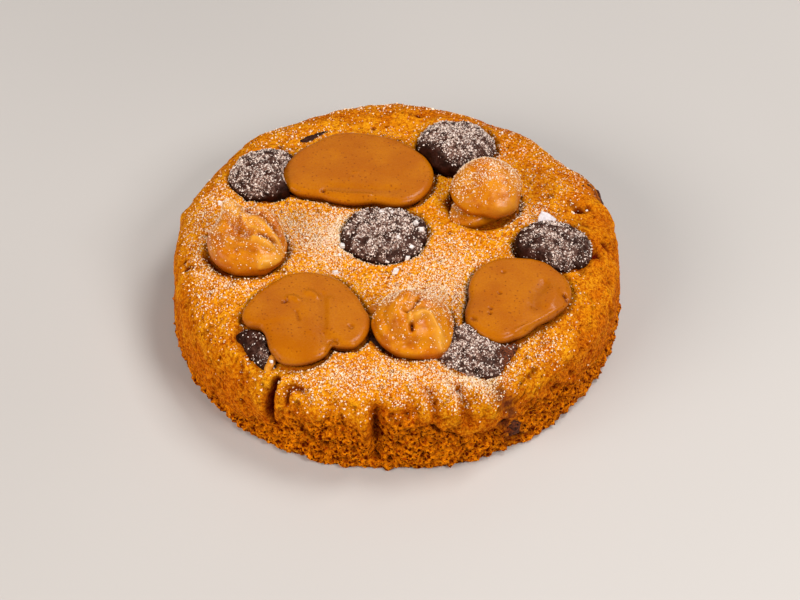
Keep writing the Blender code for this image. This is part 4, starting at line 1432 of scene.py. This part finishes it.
def make_tongue(material):
    """A small tongue of caramel under the front of the second slab."""
    points, faces = ball(1, *TONGUE_MESH)
    points = points * TONGUE_RADII
    points = placed(points, TONGUE_PLACE, *TONGUE_TURNS)
    points = roughened(points, faces, TONGUE_LUMPS)
    # The tongue is given an even paler tone of its own through the attribute that carries painted
    # highlight on the drops
    make_object("caramel_tongue", points, faces, material, "caramel_drop", ridges=0.2, sugar=0.3)


def make_flake(material):
    corners = np.array(FLAKE_CORNERS, float)
    points, faces = crystal_block(np.radians(corners[:, 0]), corners[:, 1], FLAKE_THICKNESS)
    points = placed(points, Vector(FLAKE_PLACE) + Vector(FLAKE_LEAN), *FLAKE_TURNS)
    piece = make_object("looks_salt_flake", points, faces, material, "salt", smooth=False)
    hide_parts("salt_flake")


# Sugar


def scatter(points, triangles, weights, count, generator):
    """Seeded random spots on a mesh, with the outward directions there."""
    a, b, c = (points[triangles[:, i]] for i in range(3))
    across = np.cross(b - a, c - a)
    area = np.linalg.norm(across, axis=1) / 2
    chance = area * weights[triangles].mean(axis=1)
    total = chance.sum()
    chosen = generator.choice(len(triangles), count, p=chance / total)
    u, v = generator.random((2, count))
    flip = u + v > 1
    u, v = np.where(flip, 1 - u, u), np.where(flip, 1 - v, v)
    spots = a[chosen] + u[:, None] * (b - a)[chosen] + v[:, None] * (c - a)[chosen]
    normals = across[chosen] / (2 * np.maximum(area[chosen], 1e-12))[:, None]
    return spots, normals, total


def turned_at_random(count, generator):
    """Random rotations as a stack of 3 by 3 arrays."""
    q = generator.normal(size=(count, 4))
    w, x, y, z = (q / np.linalg.norm(q, axis=1)[:, None]).T
    return np.array([
        [1 - 2 * (y * y + z * z), 2 * (x * y - z * w), 2 * (x * z + y * w)],
        [2 * (x * y + z * w), 1 - 2 * (x * x + z * z), 2 * (y * z - x * w)],
        [2 * (x * z - y * w), 2 * (y * z + x * w), 1 - 2 * (x * x + y * y)],
    ]).transpose(2, 0, 1)


# A grain of sugar has four corners. Its middle stands off its seat by a share of its size.
GRAIN_CORNERS = np.array([(1, 1, 1), (1, -1, -1), (-1, 1, -1), (-1, -1, 1)]) * 0.42
GRAIN_FACES = np.array([(0, 1, 2), (0, 3, 1), (0, 2, 3), (1, 3, 2)])
GRAIN_LIFT = 0.22


def make_grains(name, spots, normals, sizes, material, generator):
    """Many small crystals as one joined mesh."""
    count = len(spots)
    stretch = generator.uniform(0.65, 1.35, (count, 1, 3))
    local = GRAIN_CORNERS[None] * stretch * sizes[:, None, None]
    rotated = np.einsum("nij,nkj->nki", turned_at_random(count, generator), local)
    centres = spots + normals * (GRAIN_LIFT * sizes)[:, None]
    points = (centres[:, None] + rotated).reshape(-1, 3)
    offsets = np.arange(count)[:, None, None] * len(GRAIN_CORNERS)
    faces = (GRAIN_FACES[None] + offsets).reshape(-1, 3)
    make_object(name, points, faces.tolist(), material, "salt", smooth=False)


def make_sugar(dough, buttons, drops, material, pale_material):
    generator = np.random.default_rng(2)
    points, quads, sugar = dough
    triangles = np.concatenate([quads[:, (0, 1, 2)], quads[:, (0, 2, 3)]])
    for name, count, low, high in SUGAR_ON_DOUGH:
        spots, normals, _ = scatter(points, triangles, np.maximum(sugar, 0) ** 1.3, count, generator)
        sizes = generator.uniform(low, high, count)
        make_grains(name, spots, normals, sizes, material, generator)
    pieces_and_looks = (buttons, pale_material), (drops, material)
    for (name, per_amount, low, high), (pieces, look) in zip(SUGAR_ON_TOPPINGS, pieces_and_looks):
        found = []
        for points, triangles, amount in pieces:
            weights = amount + 1e-9
            _, _, total = scatter(points, triangles, weights, 1, generator)
            found.append(scatter(points, triangles, weights, int(per_amount * total), generator))
        spots, normals = (np.concatenate([result[i] for result in found]) for i in range(2))
        sizes = low + (high - low) * generator.random(len(spots)) ** 2
        make_grains(name, spots, normals, sizes, look, generator)


CRYSTAL_SIDES = 5
CRYSTAL_THICKNESS = 0.75
# Large crystals: x, y, z and size
LARGE_CRYSTALS = (
    (-3.2, 5.4, 27.0, 1.7), (-0.7, 5.4, 27.1, 1.3), (5.4, 1.0, 27.4, 1.4), (6.9, -1.1, 27.0, 1.6),
    (-1.9, -10.9, 25.4, 1.7), (3.3, -9.9, 25.6, 1.4), (4.3, -7.2, 26.6, 1.3), (0.9, -4.6, 27.9, 1.1),
    (0.3, -14.6, 25.4, 1.7), (-14.9, -15.0, 25.3, 1.6), (-13.3, -5.2, 25.3, 1.5),
    (-13.9, -8.6, 25.3, 1.1), (-45.6, 10.8, 25.4, 1.3), (-43.5, 10.3, 25.5, 1.0),
    (-29.5, -44.8, 24.4, 1.1), (27.5, 38.5, 25.2, 1.0), (29.1, 39.8, 25.0, 0.9),
    (-28.2, 32.0, 25.4, 1.1), (-26.5, 30.4, 25.4, 1.0), (33.4, 2.8, 25.3, 1.1),
    (45.4, -11.2, 25.4, 0.9), (50.2, 9.9, 23.6, 0.8), (46.5, 7.2, 25.0, 0.9),
)


def make_large_crystals(material):
    spins = turned_at_random(len(LARGE_CRYSTALS), np.random.default_rng(8))
    all_points, all_faces = [], []
    for index, (x, y, z, size) in enumerate(LARGE_CRYSTALS):
        corners = broken_corners(size / 2, CRYSTAL_SIDES, 20 + index)
        points, faces = crystal_block(*corners, CRYSTAL_THICKNESS * size)
        start = len(points) * index
        all_points.append(points @ spins[index].T + np.array([x, y, z]))
        all_faces += [tuple(start + i for i in face) for face in faces]
    points = np.concatenate(all_points)
    make_object("large_crystals", points, all_faces, material, "salt", smooth=False)


# The stage


def make_floor():
    recipe = Recipe("Pale floor", 0.5)
    clouds = recipe.stepped(recipe.noise(160, 1), 0.3, 0.7)
    material = recipe.finish(recipe.mixed(clouds, (190, 185, 181), (194, 189, 185)))
    corners = [(x * FLOOR_HALF, y * FLOOR_HALF, 0) for x, y in ((-1, -1), (1, -1), (1, 1), (-1, 1))]
    floor = linked("floor", make_mesh("floor", corners, [(0, 1, 2, 3)], material))
    floor.location.z = -FLOOR_DROP


def make_lights():
    """Soft rectangular lights that look at the cookie, in a dim room."""
    for name, place, target_height, size, power, colour in LIGHTS:
        light = bpy.data.lights.new(name, "AREA")
        light.shape = "RECTANGLE"
        light.size, light.size_y = size
        light.energy = power
        light.color = colour
        obj = linked(name, light)
        obj.location = place
        direction = Vector((0, 0, target_height)) - Vector(place)
        obj.rotation_euler = direction.to_track_quat("-Z", "Y").to_euler()
        obj.visible_glossy = name != "fill"
    world = bpy.data.worlds.new("Room")
    world.use_nodes = True
    back = world.node_tree.nodes["Background"]
    back.inputs["Color"].default_value = ROOM_COLOUR
    back.inputs["Strength"].default_value = ROOM_STRENGTH
    bpy.context.scene.world = world


def make_camera():
    camera = bpy.data.cameras.new("camera")
    camera.sensor_width = SENSOR
    camera.lens = FOCAL_PIXELS / IMAGE_SIZE[0] * SENSOR
    camera.shift_x = (IMAGE_SIZE[0] / 2 - TARGET_PIXEL[0]) / IMAGE_SIZE[0]
    camera.shift_y = (TARGET_PIXEL[1] - IMAGE_SIZE[1] / 2) / IMAGE_SIZE[0]
    camera.clip_start = CAMERA_CLIP_START
    obj = linked("camera", camera)
    elevation = math.radians(CAMERA_ELEVATION)
    back = Vector((0, -math.cos(elevation), math.sin(elevation)))
    obj.location = Vector(CAMERA_TARGET) + CAMERA_DISTANCE * back
    obj.rotation_euler = (math.radians(90) - elevation, 0, 0)
    bpy.context.scene.camera = obj


def main():
    bpy.context.scene.view_settings.view_transform = "Standard"
    make_camera()
    make_lights()
    make_floor()
    dough = make_dough(dough_material())
    chocolate = chocolate_material()
    buttons = make_buttons(chocolate)
    make_peeping_buttons(chocolate)
    make_slabs(slab_material())
    whipped = drop_material()
    drops = make_drops(whipped)
    make_bead(whipped)
    make_tongue(whipped)
    make_flake(crystal_material("Salt", (206, 196, 200), (228, 220, 224), 0.3))
    sugar = crystal_material("Sugar", (240, 206, 154), (249, 230, 210), 0.35)
    pale_sugar = crystal_material("Sugar on chocolate", (206, 180, 164), (246, 230, 220), 0.4)
    make_sugar(dough, buttons, drops, sugar, pale_sugar)
    make_large_crystals(crystal_material("Large sugar", (218, 208, 204), (240, 232, 228), 0.3))


main()
